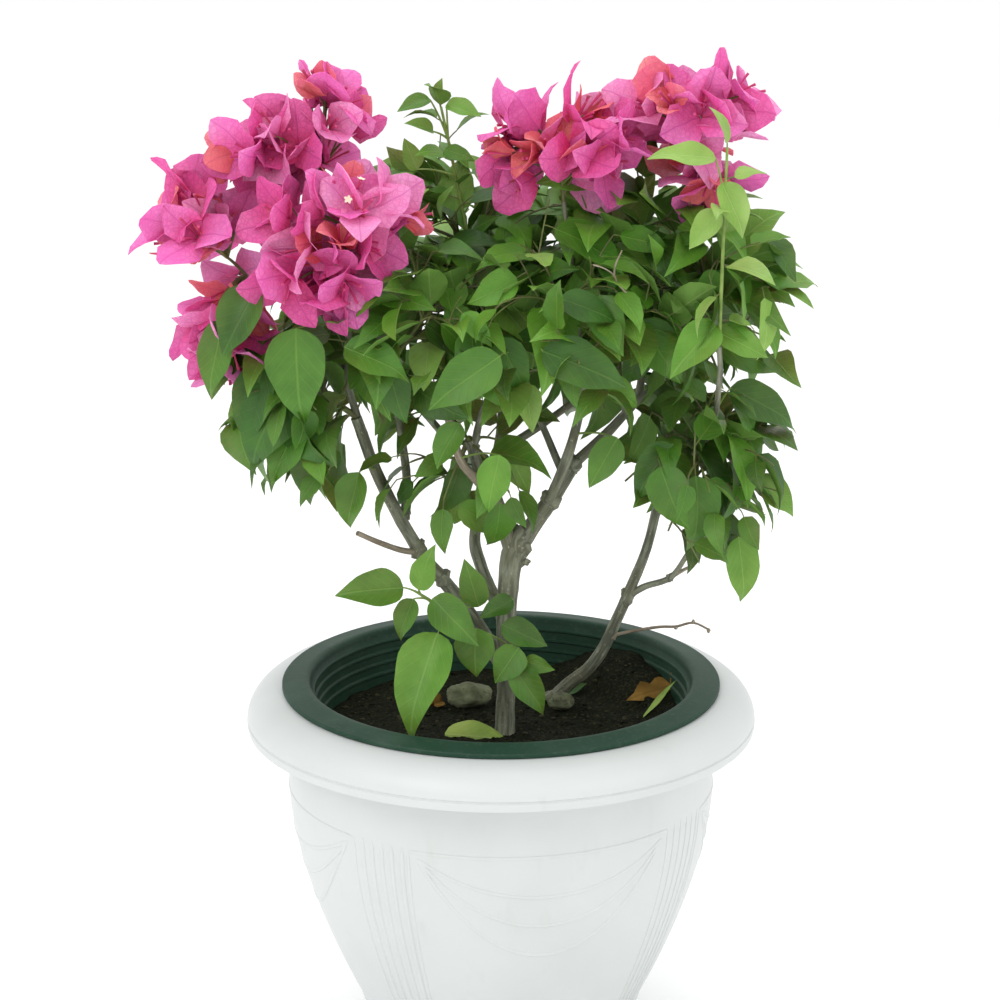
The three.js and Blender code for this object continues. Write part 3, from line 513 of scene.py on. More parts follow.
def smooth_line(path, spacing):
    """Points along the smooth curve through a path."""
    points = [Vector(point) for point in path]
    points = [2 * points[0] - points[1], *points, 2 * points[-1] - points[-2]]
    fine = []
    for a, b, c, d in zip(points, points[1:], points[2:], points[3:]):
        for k in range(24):
            t = k / 24
            fine.append(
                b + (c - a) * (t / 2) + (a - 2.5 * b + 2 * c - d / 2) * t**2
                + (1.5 * b - a / 2 - 1.5 * c + d / 2) * t**3
            )
    fine.append(points[-2])
    length = sum((q - p).length for p, q in zip(fine, fine[1:]))
    return evenly(fine, max(3, round(length / spacing)))


def arched_line(start, end, rise, count):
    """Points from start to end that rise before they lean over."""
    middle = (start + end) / 2 + UP * (start - end).length * rise
    shares = [k / (count - 1) for k in range(count)]
    fine = [start * (1 - t) ** 2 + middle * 2 * t * (1 - t) + end * t**2 for t in shares]
    return evenly(fine, count)


# Meshes

class Heap:
    """Points and faces of many small shapes that become one piece."""

    def __init__(self):
        self.points = []
        self.faces = []
        self.places = []
        self.finishes = []
        self.count = 0

    def add(self, points, faces, finish=0, places=None):
        """Adds one shape. A corner that a face names twice is kept once, so it is a triangle."""
        self.points.append(points)
        self.faces.extend(list(dict.fromkeys(face)) for face in (faces + self.count).tolist())
        self.places.append(np.zeros((len(points), 2)) if places is None else places)
        finishes = finish if np.ndim(finish) else [finish] * len(faces)
        self.finishes.extend(finishes)
        self.count += len(points)

    def piece(self, name, materials, slot, nodes=(), angle=60):
        """Makes one mesh of all that was added, its places in the UV map."""
        mesh = bpy.data.meshes.new(name)
        mesh.from_pydata(np.concatenate(self.points).tolist(), [], self.faces)
        mesh.polygons.foreach_set("material_index", self.finishes)
        corners = np.zeros(len(mesh.loops), np.int32)
        mesh.loops.foreach_get("vertex_index", corners)
        layer = mesh.uv_layers.new(name="UVMap")
        layer.data.foreach_set("uv", np.concatenate(self.places)[corners].ravel())
        piece = bpy.data.objects.new(name, mesh)
        bpy.context.collection.objects.link(piece)
        dressed(piece, materials, nodes, angle)


def dressed(piece, materials, nodes, angle):
    """Gives a piece its materials, smooth faces and its body, and hides the solids of the nodes that it
    stands for.
    """
    for material in materials:
        piece.data.materials.append(material)
    bpy.ops.object.select_all(action="DESELECT")
    piece.select_set(True)
    bpy.context.view_layer.objects.active = piece
    bpy.ops.object.shade_smooth_by_angle(angle=math.radians(angle))
    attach(piece, "root")
    if nodes:
        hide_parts(*nodes)


def frames_along(points):
    """Two ways square to a line and to each other at each of its points, without twist."""
    tangents = np.gradient(points, axis=0)
    tangents /= np.linalg.norm(tangents, axis=1)[:, None]
    first = Vector(tangents[0])
    normal = square_to(first, Vector((0.31, 0.93, 0.17)))
    normals = []
    for tangent in tangents:
        normal = square_to(Vector(tangent), normal)
        normals.append(tuple(normal))
    normals = np.array(normals)
    return normals, np.cross(tangents, normals)


def tube(points, radii, sides, relief=0.0):
    """A closed tube along points. relief roughens its skin, as a share of its radius."""
    points = np.asarray(points)
    normals, binormals = frames_along(points)
    angles = np.arange(sides) * (2 * math.pi / sides)
    around = (
        normals[:, None, :] * np.cos(angles)[None, :, None]
        + binormals[:, None, :] * np.sin(angles)[None, :, None]
    )
    size = np.repeat(np.asarray(radii)[:, None], sides, axis=1)
    if relief:
        size = size * (1 + relief * bark_relief(points, size))
    rings = points[:, None, :] + around * size[:, :, None]
    ends = np.stack([points[0], points[-1]])
    vertices = np.concatenate([rings.reshape(-1, 3), ends])
    return vertices, tube_faces(len(points), sides)


def tube_faces(rings, sides):
    """The wall of a tube, and its two ends closed by a point each."""
    ring = np.arange(rings - 1)[:, None] * sides
    side = np.arange(sides)
    onward = (side + 1) % sides
    walls = np.stack([ring + side, ring + onward, ring + onward + sides, ring + side + sides], axis=-1)
    last = (rings - 1) * sides
    foot_point = np.full(sides, rings * sides)
    tip_point = foot_point + 1
    foot = np.stack([onward, side, foot_point, foot_point], axis=-1)
    tip = np.stack([last + side, last + onward, tip_point, tip_point], axis=-1)
    return np.concatenate([walls.reshape(-1, 4), foot, tip])


def skin_places(points, radii, sides):
    """Each point of a tube on its unrolled skin, in metres. Its two halves are alike: no seam shows."""
    lengths = lengths_along(points)
    turns = np.abs(np.arange(sides) * 2 / sides - 1) * math.pi
    across = turns[None, :] * radii[:, None]
    along = np.repeat(lengths[:, None], sides, axis=1)
    places = np.stack([across, along], axis=-1).reshape(-1, 2)
    return np.concatenate([places + points[0][:2], [(0, 0), (0, lengths[-1])]])


def bark_relief(points, size):
    """Ridges along a limb, lumps, and a swelling at each old leaf joint. No two limbs are alike."""
    swell = np.zeros(size.shape)
    start = Vector(points[0]) * 50
    for i in range(len(points)):
        length = i * LIMB_STEP
        joint = 0.5 * math.exp(-((length % JOINT_SPACING - JOINT_SPACING / 2) / JOINT_REACH) ** 2)
        for j in range(size.shape[1]):
            turn = 2 * math.pi * j / size.shape[1]
            x, y = size[i, j] * math.cos(turn), size[i, j] * math.sin(turn)
            ridge = noise.noise(start + Vector((x * RIDGES[0], y * RIDGES[0], length * RIDGES[1])))
            lump = noise.noise(start + Vector((x * LUMPS[0], y * LUMPS[0], length * LUMPS[1])))
            swell[i, j] = 0.8 * ridge + 0.7 * lump + joint
    return swell


# Growing the bush

def limb_line(limb):
    """Points and radii of a limb, with the flare of its foot and the swelling of its tip."""
    points = smooth_line(limb["path"], LIMB_STEP)
    shares = np.linspace(0, 1, len(points))
    radii = between(limb["radius"][0], limb["radius"][1], shares)
    radii = radii + limb.get("flare", 0) * np.exp(-9 * shares)
    return points, radii + limb.get("fork", 0) * np.exp(-9 * (1 - shares))


LIMB_LINES = {limb["name"]: limb_line(limb) for limb in LIMBS}
LIMB_POINTS = np.concatenate([points for points, radii in LIMB_LINES.values()])
LIMB_RADII = np.concatenate([radii for points, radii in LIMB_LINES.values()])


def touches_limb(points):
    """Whether any of the points lies in a limb or close to it."""
    apart = np.linalg.norm(LIMB_POINTS[None] - np.array(points)[:, None], axis=2)
    return bool((apart < LIMB_RADII[None] + LIMB_MARGIN).any())


def lobes_of(mass):
    """The ellipsoids that a mass fills: its own, or the smaller lobes that its blossom shows."""
    return mass.get("lobes") or [(mass["centre"], mass["radii"])]


def in_any(lobes, point, room=1.0):
    """Whether a point lies in one of the ellipsoids, each made larger or smaller by room."""
    for centre, radii in lobes:
        offset = point - Vector(centre)
        if sum((offset[i] / radii[i]) ** 2 for i in range(3)) < room**2:
            return True
    return False


def inside_space(mass, point, room=1.0):
    """Whether a point lies in the space of a mass."""
    return in_any(lobes_of(mass), point, room)


def outward_at(point):
    """The way out of the crown from a point, more sideways than up or down."""
    outward = point - CROWN_HEART
    outward.z *= 0.6
    return outward.normalized()


def light_at(point):
    """The light that a leaf turns to: from outside the crown, from above, a little from the front."""
    return outward_at(point) * 0.45 + UP + FRONT * 0.15


class Twig:
    """A line of points that bears leaves or blooms from a share of its length on.

    The bearer is the number of the twig that it grows from, or its own.
    """

    def __init__(self, number, points, radius, first=TWIG_BARE):
        self.number = number
        self.points = points
        self.radius = radius
        self.first = first
        self.bearer = number
        self.length = float(np.linalg.norm(np.diff(points, axis=0), axis=1).sum())

    def at(self, share):
        """The point at a share of the length, and the way that the twig runs there."""
        place = share * (len(self.points) - 1)
        step = min(len(self.points) - 2, int(place))
        start, end = Vector(self.points[step]), Vector(self.points[step + 1])
        return start.lerp(end, place - step), (end - start).normalized()

    def nodes(self, every):
        """Where it bears: the number, whether it is the tip, the point and the way there."""
        count = int(self.length * (LAST_NODE - self.first) / every)
        places = []
        for number in range(count + 1):
            share = between(LAST_NODE, self.first, (count - number) / max(count, 1))
            places.append((number, number == count, *self.at(share)))
        return places


def mass_stem(mass):
    """The stem of a mass, from the tip of its limb through the middle of its space."""
    limb = next(limb for limb in LIMBS if limb["name"] == mass["from"])
    foot = Vector(mass.get("foot") or limb["path"][-1])
    centre = Vector(mass["centre"])
    shoot = "reach" in mass
    end = Vector(mass["reach"]) if shoot else centre + (centre - foot) * STEM_PAST
    start = foot - (end - foot).normalized() * ROOTED
    if shoot:
        return Twig(0, arched_line(start, end, SHOOT_ARCH, 14), SHOOT_RADIUS, SHOOT_BARE)
    radius = min(STEM_RADIUS, limb["radius"][1])
    return Twig(0, arched_line(start, end, STEM_ARCH, 14), radius, STEM_BARE)


def turned_aside(tangent, angle):
    """A way square to a twig, turned round it by an angle."""
    return turned_about(square_to(tangent, ASIDE), tangent, angle)


def side_twigs(mass, stem):
    """Twigs from the stem to points spread round each lobe of the mass."""
    start, end = Vector(stem.points[0]), Vector(stem.points[-1])
    axis = end - start
    ends = BLOOM_TWIG_ENDS if mass.get("blooms") else LEAF_TWIG_ENDS
    lobes = lobes_of(mass)
    count = round(mass["twigs"] * TWIG_SHARE / len(lobes))
    twigs = []
    for part, (centre, radii) in enumerate(lobes):
        for i in range(count):
            number = part * 20 + i
            height = 1 - (2 * (i + 0.5)) / count
            turn = number * GOLDEN_ANGLE + mass["seed"]
            level = math.sqrt(1 - height * height)
            outward = between(*ends, chance(mass["seed"], number, 77))
            ball = Vector((level * math.cos(turn), level * math.sin(turn), height)) * outward
            tip = Vector(centre) + Vector([ball[k] * radii[k] for k in range(3)])
            share = (tip - start).dot(axis) / axis.length_squared
            foot, _ = stem.at(min(0.9, max(0.12, share - 0.35)))
            line = arched_line(foot, tip, TWIG_ARCH, 9)
            if not touches_limb(line[3:]):
                twigs.append(Twig(number + 1, line, TWIG_RADIUS))
    return twigs


def finer_twigs(mass, twigs):
    """Short sprigs that fork off the side twigs, which the solids leave out."""
    sprigs = []
    for twig in twigs:
        for fork, share in enumerate(SPRIG_FORKS):
            number = 100 + twig.number * 4 + fork
            foot, tangent = twig.at(share)
            aside = turned_aside(tangent, fork * GOLDEN_ANGLE + twig.number * 1.7)
            onward = (aside * 0.7 + tangent * 0.6 + UP * 0.25).normalized()
            tip = foot + onward * between(*SPRIG_LENGTHS, chance(mass["seed"], number, 5))
            if not inside_space(mass, tip, 0.98):
                continue
            line = arched_line(foot, tip, SPRIG_ARCH, 6)
            if touches_limb(line[2:]):
                continue
            sprigs.append(Twig(number, line, SPRIG_RADIUS, SPRIG_BARE))
            sprigs[-1].bearer = twig.number
    return sprigs


def own_twigs(mass, stem):
    """The leaves that stand out in the crown, each on a twig from the nearest wood that lies lower."""
    twigs, blades = [], []
    feet = [stem.at(share)[0] for share in (0.15, 0.3, 0.45, 0.6, 0.75)]
    feet += [Vector(place) for place in LIMB_POINTS[::4] if place[2] > LOWEST_FOOT]
    for number, (base, tip, *width) in enumerate(mass.get("leaves", ()), OWN_NUMBERS):
        base, tip = Vector(base), Vector(tip)
        along = (tip - base).normalized()
        length = (tip - base).length
        foot = min(feet, key=lambda place: (place - base).length + max(0, place.z - base.z + 0.01))
        twigs.append(Twig(number, arched_line(foot, base, STEM_ARCH, 8), SPRIG_RADIUS * 1.2))
        blades.append({
            "own": True, "base": base, "along": along, "length": length,
            "width": length * (width[0] if width else LEAF_WIDTH),
            "face": square_to(along, light_at(base) * 0.6 + FRONT * 0.55),
            "key": number + mass["seed"] * 10,
        })
    return twigs, blades


PLACED = {"leaf": [], "bloom": []}


def has_room(kind, middle, apart):
    """Whether no other blade's middle is nearer than apart. A blade that finds room takes it."""
    taken = PLACED[kind]
    if taken:
        nearest = np.linalg.norm(np.array(taken) - np.array(middle), axis=1).min()
        if nearest < apart:
            return False
    taken.append(tuple(middle))
    return True


def drawn_at(mass, twig, node, attempt):
    """What one try at a place on a twig draws by: the way aside there, and a number for each channel."""
    number, _, _, tangent = node
    aside = turned_aside(tangent, number * GOLDEN_ANGLE + twig.number + attempt * 1.1)
    return aside, lambda channel: chance(mass["seed"], twig.number, number, attempt * 16 + channel)


def leaf_at(mass, twig, node, attempt):
    """The way that a leaf points and faces: out from its twig, drooping, its face to the light."""
    _, last, point, tangent = node
    aside, key = drawn_at(mass, twig, node, attempt)
    sideways, onward = LEAF_WAYS[last]
    along = aside * sideways + tangent * onward
    along = along + outward_at(point) * 0.35 - UP * mass["droop"] * between(-0.1, 0.95, key(1))
    along.normalize()
    jitter = Vector((key(2) - 0.5, key(3) - 0.5, key(4) - 0.5)) * 1.3
    length = mass["leaf"] * LEAF_SHARE * between(0.55, 1.12, key(5)) * 0.95**attempt
    return {
        "base": point + along * between(*STALK_LENGTHS, key(8)), "root": point, "along": along,
        "face": square_to(along, light_at(point) + jitter),
        "length": length, "width": length * LEAF_WIDTH * between(0.9, 1.2, key(6)),
        "key": int(key(9) * 9973), "twig": twig.number,
    }


def grow_leaves(mass, twigs, own):
    """The leaves of a mass. One that finds no room after a few tries is skipped."""
    grown = list(own)
    for blade in own:
        PLACED["leaf"].append(tuple(blade["base"] + blade["along"] * blade["length"] * 0.5))
    spacing = mass.get("every", LEAF_SPACING)
    for twig in twigs if spacing else ():
        for node in twig.nodes(spacing):
            for attempt in range(TRIES):
                blade = leaf_at(mass, twig, node, attempt)
                middle = blade["base"] + blade["along"] * blade["length"] * 0.5
                tip = blade["base"] + blade["along"] * blade["length"]
                if not inside_space(mass, tip, 1.04) or touches_limb([middle, tip]):
                    continue
                if any(in_any(mass.get("open", ()), place) for place in (middle, tip)):
                    continue
                if has_room("leaf", middle, blade["length"] * LEAF_ROOM):
                    grown.append(blade)
                    break
    return grown


def bloom_at(mass, twig, node, attempt):
    """Where a bloom stands, its axis, how long its bracts are and how far they open."""
    _, last, point, tangent = node
    aside, key = drawn_at(mass, twig, node, attempt)
    away = (point - Vector(mass["centre"])).normalized()
    sideways, onward = BLOOM_WAYS[last]
    axis = aside * sideways + tangent * onward + away * 0.6
    axis = (axis + UP * 0.25 + FRONT * 0.15).normalized()
    root = point + axis * between(*BLOOM_STALK_LENGTHS, key(7))
    return {
        "root": point, "base": root, "axis": axis, "turn": key(1) * 2.1,
        "length": BRACT_LENGTH * between(0.78, 1.08, key(2)) * 0.97**attempt,
        "opening": between(0.5, 1.15, key(3)), "key": int(key(9) * 9973), "twig": twig.number,
        "young": mass["young"],
    }


def grow_blooms(mass, twigs):
    """The blooms of a mass. One that finds no room after a few tries is skipped."""
    grown = []
    for twig in twigs:
        for node in twig.nodes(BLOOM_SPACING):
            for attempt in range(TRIES):
                bloom = bloom_at(mass, twig, node, attempt)
                reach = bloom["base"] + bloom["axis"] * bloom["length"] * 0.6
                if not inside_space(mass, reach) or touches_limb([reach]):
                    continue
                if has_room("bloom", reach, BLOOM_APART):
                    grown.append(bloom)
                    break
    return grown


# Leaves and bracts as meshes

def sheet_grid(stations, across):
    """Shares along and across a blade, which of its two faces each point is on, and its faces."""
    rows, columns = len(stations), len(across)
    along = np.repeat(stations, columns)
    sideways = np.tile(across, rows)
    number = np.arange(rows * columns).reshape(rows, columns)
    upper = np.stack([number[:-1, :-1], number[1:, :-1], number[1:, 1:], number[:-1, 1:]], axis=-1)
    upper = upper.reshape(-1, 4)
    lower = np.roll(upper[:, ::-1], 1, axis=1) + rows * columns
    rim = np.concatenate([number[:, 0], number[-1, 1:], number[-2::-1, -1], number[0, -2:0:-1]])
    onward = np.roll(rim, -1)
    edge = np.stack([onward, rim, rim + rows * columns, onward + rows * columns], axis=-1)
    along = np.tile(along, 2)
    sideways = np.tile(sideways, 2)
    below = np.repeat([0.0, 1.0], rows * columns)
    return along, sideways, below, upper[:, ::-1], lower[:, ::-1], edge[:, ::-1]


def outline(shape, share):
    """Half the width of a blade at a share of its length, from 0 to 1. pinch draws its tip out."""
    foot, tip, pinch = shape
    peak = foot / (foot + tip)
    highest = peak**foot * (1 - peak) ** tip
    share = np.clip(share, 0.0015, 0.9985)
    return share**foot * (1 - share) ** tip / highest * (1 - pinch * share**5)


# A blade's shape is how blunt its foot and its tip are, and the pinch of the tip.
# Its grid is the stations along it and those across. The leaves that stand out have a finer one.
LEAF_SHAPE = (0.52, 0.93, 0.3)
BRACT_SHAPE = (0.5, 0.66, 0.05)
LEAF_GRID = sheet_grid(np.array([0, 0.08, 0.22, 0.4, 0.58, 0.76, 0.9, 1]), np.array([-1, 0, 1]))
OWN_GRID = sheet_grid(np.linspace(0, 1, 13) ** 1.3, np.array([-1, -0.5, 0, 0.5, 1]))
BRACT_GRID = sheet_grid(np.array([0, 0.06, 0.2, 0.4, 0.62, 0.82, 0.94, 1]), np.array([-1, -0.35, 0.35, 1]))


def blade_points(grid, shape, blade, bend):
    """A blade's points: bent along its length, folded along its rib, waved at its edge."""
    along, sideways, below = grid[:3]
    length, width = blade["length"], blade["width"]
    ragged = 1 + bend["ragged"] * np.sin(bend["phase"] * 3 + along * 15 + sideways * 2)
    half = outline(shape, along) * width / 2 * ragged
    x = length * along * (1 - 0.1 * bend["droop"] * along)
    y = sideways * half
    z = -bend["droop"] * length * along**2
    z = z + bend["fold"] * np.abs(sideways) * half
    wave = np.sin(bend["phase"] + along * bend["waves"] + sideways * 1.3)
    z = z + bend["wave"] * length * wave * np.abs(sideways) ** 1.5 * np.minimum(half * 3 / width, 1)
    z = z - bend["curl"] * length * np.maximum(0, (along - 0.7) / 0.3) ** 2
    turn = bend["twist"] * along
    y, z = y * np.cos(turn) - z * np.sin(turn), y * np.sin(turn) + z * np.cos(turn)
    z = z - below * BLADE_THICKNESS
    onward, face = np.array(blade["along"]), np.array(blade["face"])
    side = np.cross(face, onward)
    return np.array(blade["base"]) + x[:, None] * onward + y[:, None] * side + z[:, None] * face


def add_blade(heap, grid, shape, blade, bend, upper, lower):
    """Adds a blade with its two finishes, upper and lower. Its place on the sheet goes in the UV map."""
    points = blade_points(grid, shape, blade, bend)
    places = np.stack([0.5 + 0.5 * grid[1] * outline(shape, grid[0]), grid[0]], axis=1)
    faces = np.concatenate([grid[3], grid[4], grid[5]])
    finishes = [upper] * len(grid[3]) + [lower] * len(grid[4]) + [upper] * len(grid[5])
    heap.add(points, faces, finishes, places)


# How leaves and bracts bend: the two ends that each value is drawn between, one channel after another
LEAF_BEND = {
    "droop": (0.04, 0.52), "fold": (0.1, 0.6), "wave": (0.005, 0.045), "waves": (7, 12),
    "phase": (0, 6.3), "curl": (-0.05, 0.2), "twist": (-0.7, 0.7), "ragged": (0.03, 0.03),
}
BRACT_BEND = {
    "droop": (-0.22, 0.26), "fold": (-0.35, 0.5), "wave": (0.02, 0.07), "waves": (6, 11),
    "phase": (0, 6.3), "curl": (-0.1, 0.2), "twist": (-0.6, 0.6), "ragged": (0.09, 0.09),
}


def drawn_bend(ends, key):
    """How one blade bends."""
    return {name: between(*ends[name], chance(key, channel)) for channel, name in enumerate(ends, 1)}


def add_stalk(heap, start, end, radius, rise=0.1):
    """A leaf's stalk or a bloom's, a thin arched tube."""
    heap.add(*tube(arched_line(start, end, rise, 4), np.full(4, radius), 4))


# The two pots, the soil and what lies on it

def turned_piece(name, section):
    """A closed body of revolution: a ring of points set to a section and spun about the axis."""
    bpy.ops.object.select_all(action="DESELECT")
    bpy.ops.mesh.primitive_circle_add(vertices=len(section), radius=0.1)
    piece = bpy.context.object
    piece.name = name
    for vertex, (radius, height) in zip(piece.data.vertices, section):
        vertex.co = (radius, 0, height)
    bpy.ops.object.mode_set(mode="EDIT")
    bpy.ops.mesh.select_all(action="SELECT")
    bpy.ops.mesh.spin(steps=TURNED_STEPS, angle=2 * math.pi, center=(0, 0, 0), axis=(0, 0, 1))
    bpy.ops.mesh.select_all(action="SELECT")
    bpy.ops.mesh.remove_doubles(threshold=1e-5)
    bpy.ops.mesh.delete_loose()
    bpy.ops.mesh.select_all(action="SELECT")
    bpy.ops.mesh.normals_make_consistent(inside=False)
    bpy.ops.object.mode_set(mode="OBJECT")
    return piece


def body_radius(z):
    """How far the planter's bowl-shaped body reaches from its axis at a height."""
    share = min(1, max(0, (z - FOOT_HEIGHT) / (BODY_TOP - FOOT_HEIGHT)))
    return WAIST_RADIUS + (BODY_TOP_RADIUS - WAIST_RADIUS) * (1 - (1 - share) ** BODY_BULGE)


def arc(centre, radius, start, end, steps):
    """Points of an arc in a section, its angles in degrees from straight out."""
    angles = np.radians(np.linspace(start, end, steps))
    return [(centre[0] + radius * math.cos(a), centre[1] + radius * math.sin(a)) for a in angles]


def planter_section():
    """Foot, bowl-shaped body, the step under the lip, the rolled lip with its groove, and the inside."""
    waist = WAIST_RADIUS
    points = [(0, 0), (waist - 0.002, 0), *arc((waist, 0.0015), 0.001, -90, 0, 3)]
    points += [(waist + 0.001, 0.005), (waist, 0.008), (waist - 0.002, 0.012), (waist - 0.0015, 0.02)]
    heights = np.linspace(FOOT_HEIGHT, BODY_TOP, 26)
    points += [(body_radius(z), z) for z in heights]
    points += [(BODY_TOP_RADIUS, 0.228), (BODY_TOP_RADIUS, 0.2495), (BODY_TOP_RADIUS + 0.0008, 0.2518)]
    points += [(LIP_RADIUS - 0.013, 0.2552), (LIP_RADIUS - 0.0105, 0.256), (LIP_RADIUS - 0.0075, 0.2568)]
    lip_width = LIP_RADIUS - LINER_FLANGE
    for angle in np.radians([-12, -8, -4, 0, 1.5, 3.5, 5, 7, *np.linspace(12, 90, 18)]):
        groove = 0.0009 if 0.05 < angle < 0.1 else 0
        reach = LINER_FLANGE + lip_width * math.cos(angle) - groove
        points.append((reach, LIP_TOP - LIP_HEIGHT + LIP_HEIGHT * math.sin(angle)))
    points += [(LINER_FLANGE - 0.007, LIP_TOP), (BODY_TOP_RADIUS - WALL, BODY_TOP)]
    points += [(body_radius(z) - WALL, z) for z in heights[20:2:-3]]
    return points + [(waist - WALL - 0.002, FLOOR_HEIGHT), (0, FLOOR_HEIGHT)]


def liner_inside(z):
    """How far the liner's inner face reaches from its axis at a height."""
    return between(FLOOR_RADIUS, MOUTH_RADIUS, (z - LINER_FLOOR) / (LINER_TOP - 0.001 - LINER_FLOOR))


def liner_section():
    """The flange with its rounded crest, and the wall with ribs below the crest."""
    seat = LIP_TOP + 0.0003
    under = LINER_FLOOR - LINER_THICKNESS
    points = [(0, under), (liner_inside(LINER_FLOOR), under)]
    points += [(liner_inside(seat) + 0.0025, seat - 0.008), (liner_inside(seat) + 0.003, seat)]
    points += [(LINER_FLANGE - 0.0008, seat), (LINER_FLANGE, seat + 0.0008), (LINER_FLANGE, seat + 0.003)]
    points += [(LINER_FLANGE - 0.0006, seat + 0.0038), (LINER_FLANGE - 0.008, seat + 0.0045)]
    points += [(LINER_CREST + 0.004, LINER_TOP - 0.0002), (LINER_CREST + 0.0015, LINER_TOP)]
    points += [(LINER_CREST - 0.0005, LINER_TOP - 0.0006), (LINER_CREST - 0.0018, LINER_TOP - 0.002)]
    points += [(LINER_CREST - 0.0024, LINER_TOP - 0.0045)]
    for rib in range(RIBS):
        top = LINER_TOP - RIB_STEP - rib * RIB_STEP
        for drop, out in ((0, 0), (0.0012, 0.0013), (0.0026, 0.0013), (0.0038, 0)):
            points.append((liner_inside(top - drop) - out, top - drop))
    return points + [(liner_inside(0.2), 0.2), (liner_inside(LINER_FLOOR), LINER_FLOOR), (0, LINER_FLOOR)]


def on_body(angle, z):
    """A point on the planter's body, angle in degrees round from its front towards +X."""
    turn = math.radians(angle)
    return (body_radius(z) * math.sin(turn), -body_radius(z) * math.cos(turn), z)


def bead(heap, route, radius):
    """A low, soft raised line on the planter, sunk by half into its face."""
    line = evenly([on_body(angle, z) for angle, z in route], max(4, len(route)))
    swell = np.full(len(line), radius)
    swell[0] = swell[-1] = radius * 0.3
    points, faces = tube(line, swell, 10)
    reach = np.hypot(points[:, 0], points[:, 1])
    face = np.array([body_radius(z) for z in points[:, 2]])
    points[:, :2] *= ((face + (reach - face) * BEAD_RISE) / reach)[:, None]
    heap.add(points, faces)


def planter_relief():
    """Four panels, each with three festoons hung from its top corners, and fluted strips between them."""
    heap = Heap()
    for panel in range(4):
        middle = PANEL_TURN + panel * 90
        left, right = middle - PANEL_HALF, middle + PANEL_HALF
        for edge in (left, right):
            bead(heap, [(edge, z) for z in np.linspace(PANEL_TOP, PANEL_FOOT, 30)], BEAD * 0.9)
        bead(heap, [(angle, PANEL_TOP) for angle in np.linspace(left, right, 40)], BEAD)
        for low in FESTOON_LOWS:
            shares = np.linspace(-1, 1, 60)
            heights = low + (PANEL_TOP - FESTOON_DROP - low) * np.abs(shares) ** FESTOON_CURVE
            bead(heap, list(zip(middle + shares * (PANEL_HALF - FESTOON_INSET), heights)), BEAD)
        for flute in range(FLUTES):
            angle = right + FLUTE_STEP + flute * FLUTE_STEP
            heights = np.linspace(PANEL_TOP + 0.002, PANEL_FOOT, 30)
            bead(heap, [(angle, z) for z in heights], BEAD * 1.2)
    return heap


def soil_mound(x, y):
    """How far the soil rises at the right, and more where it is heaped on the liner at the back right."""
    slope = max(0.0, min(1.0, (x + 0.5 * y - SLOPE_START) / SLOPE_RUN))
    sideways = (math.degrees(math.atan2(y, x)) - HEAP_TURN) / HEAP_HALF
    outward = max(0.0, min(1.0, (math.hypot(x, y) - HEAP_START) / HEAP_RUN))
    heap = max(0, 1 - sideways**2) ** 2 * outward**2 * (3 - 2 * outward)
    return SLOPE_RISE * slope**2 + HEAP_RISE * heap


def soil_height(x, y):
    """The soil's face: flat but for its mound, with crumbs, clods and grains."""
    height = SOIL_TOP + soil_mound(x, y)
    for fineness, layer, rise in SOIL_ROUGHNESS:
        height += noise.noise(Vector((x * fineness, y * fineness, layer))) * rise
    return height


def soil_heap():
    """The soil as a closed disc: a crumbly face that ends at the liner, and a flat underside."""
    rings, sectors = 64, 200
    turns = [(math.cos(a), math.sin(a)) for a in np.arange(sectors) * (2 * math.pi / sectors)]
    level = liner_inside(SOIL_TOP)
    rims = [liner_inside(SOIL_TOP + soil_mound(level * x, level * y)) - SOIL_GAP for x, y in turns]
    points = []
    for ring in range(1, rings + 1):
        for rim, (x, y) in zip(rims, turns):
            reach = rim * (ring / rings)
            points.append((reach * x, reach * y, soil_height(reach * x, reach * y)))
    under = SOIL_TOP - SOIL_CUT
    points += [(SOIL_UNDER_RADIUS * x, SOIL_UNDER_RADIUS * y, under) for x, y in turns]
    points += [(0, 0, soil_height(0, 0)), (0, 0, under)]
    top_middle, under_middle = len(points) - 2, len(points) - 1
    faces = []
    for side in range(sectors):
        onward = (side + 1) % sectors
        faces.append((top_middle, top_middle, side, onward))
        for ring in range(rings):
            inner, outer = ring * sectors, (ring + 1) * sectors
            faces.append((inner + side, outer + side, outer + onward, inner + onward))
        last = rings * sectors
        faces.append((under_middle, under_middle, last + onward, last + side))
    heap = Heap()
    heap.add(np.array(points), np.array(faces))
    return heap


def five_sided_lump():
    """A crumb's points and triangles: one point above, two rings of five, and one below."""
    points = [(0, 0, 1), (0, 0, -1)]
    for low in (0, 1):
        for k in range(5):
            turn = math.radians(72 * k + 36 * low)
            points.append((0.9 * math.cos(turn), 0.9 * math.sin(turn), 0.45 - 0.9 * low))
    faces = []
    for k in range(5):
        high, high_next = 2 + k, 2 + (k + 1) % 5
        low, low_next = high + 5, high_next + 5
        faces += [(0, 0, high, high_next), (high, low, high_next, high_next)]
        faces += [(high_next, low, low_next, low_next), (1, 1, low_next, low)]
    return np.array(points), np.array(faces)


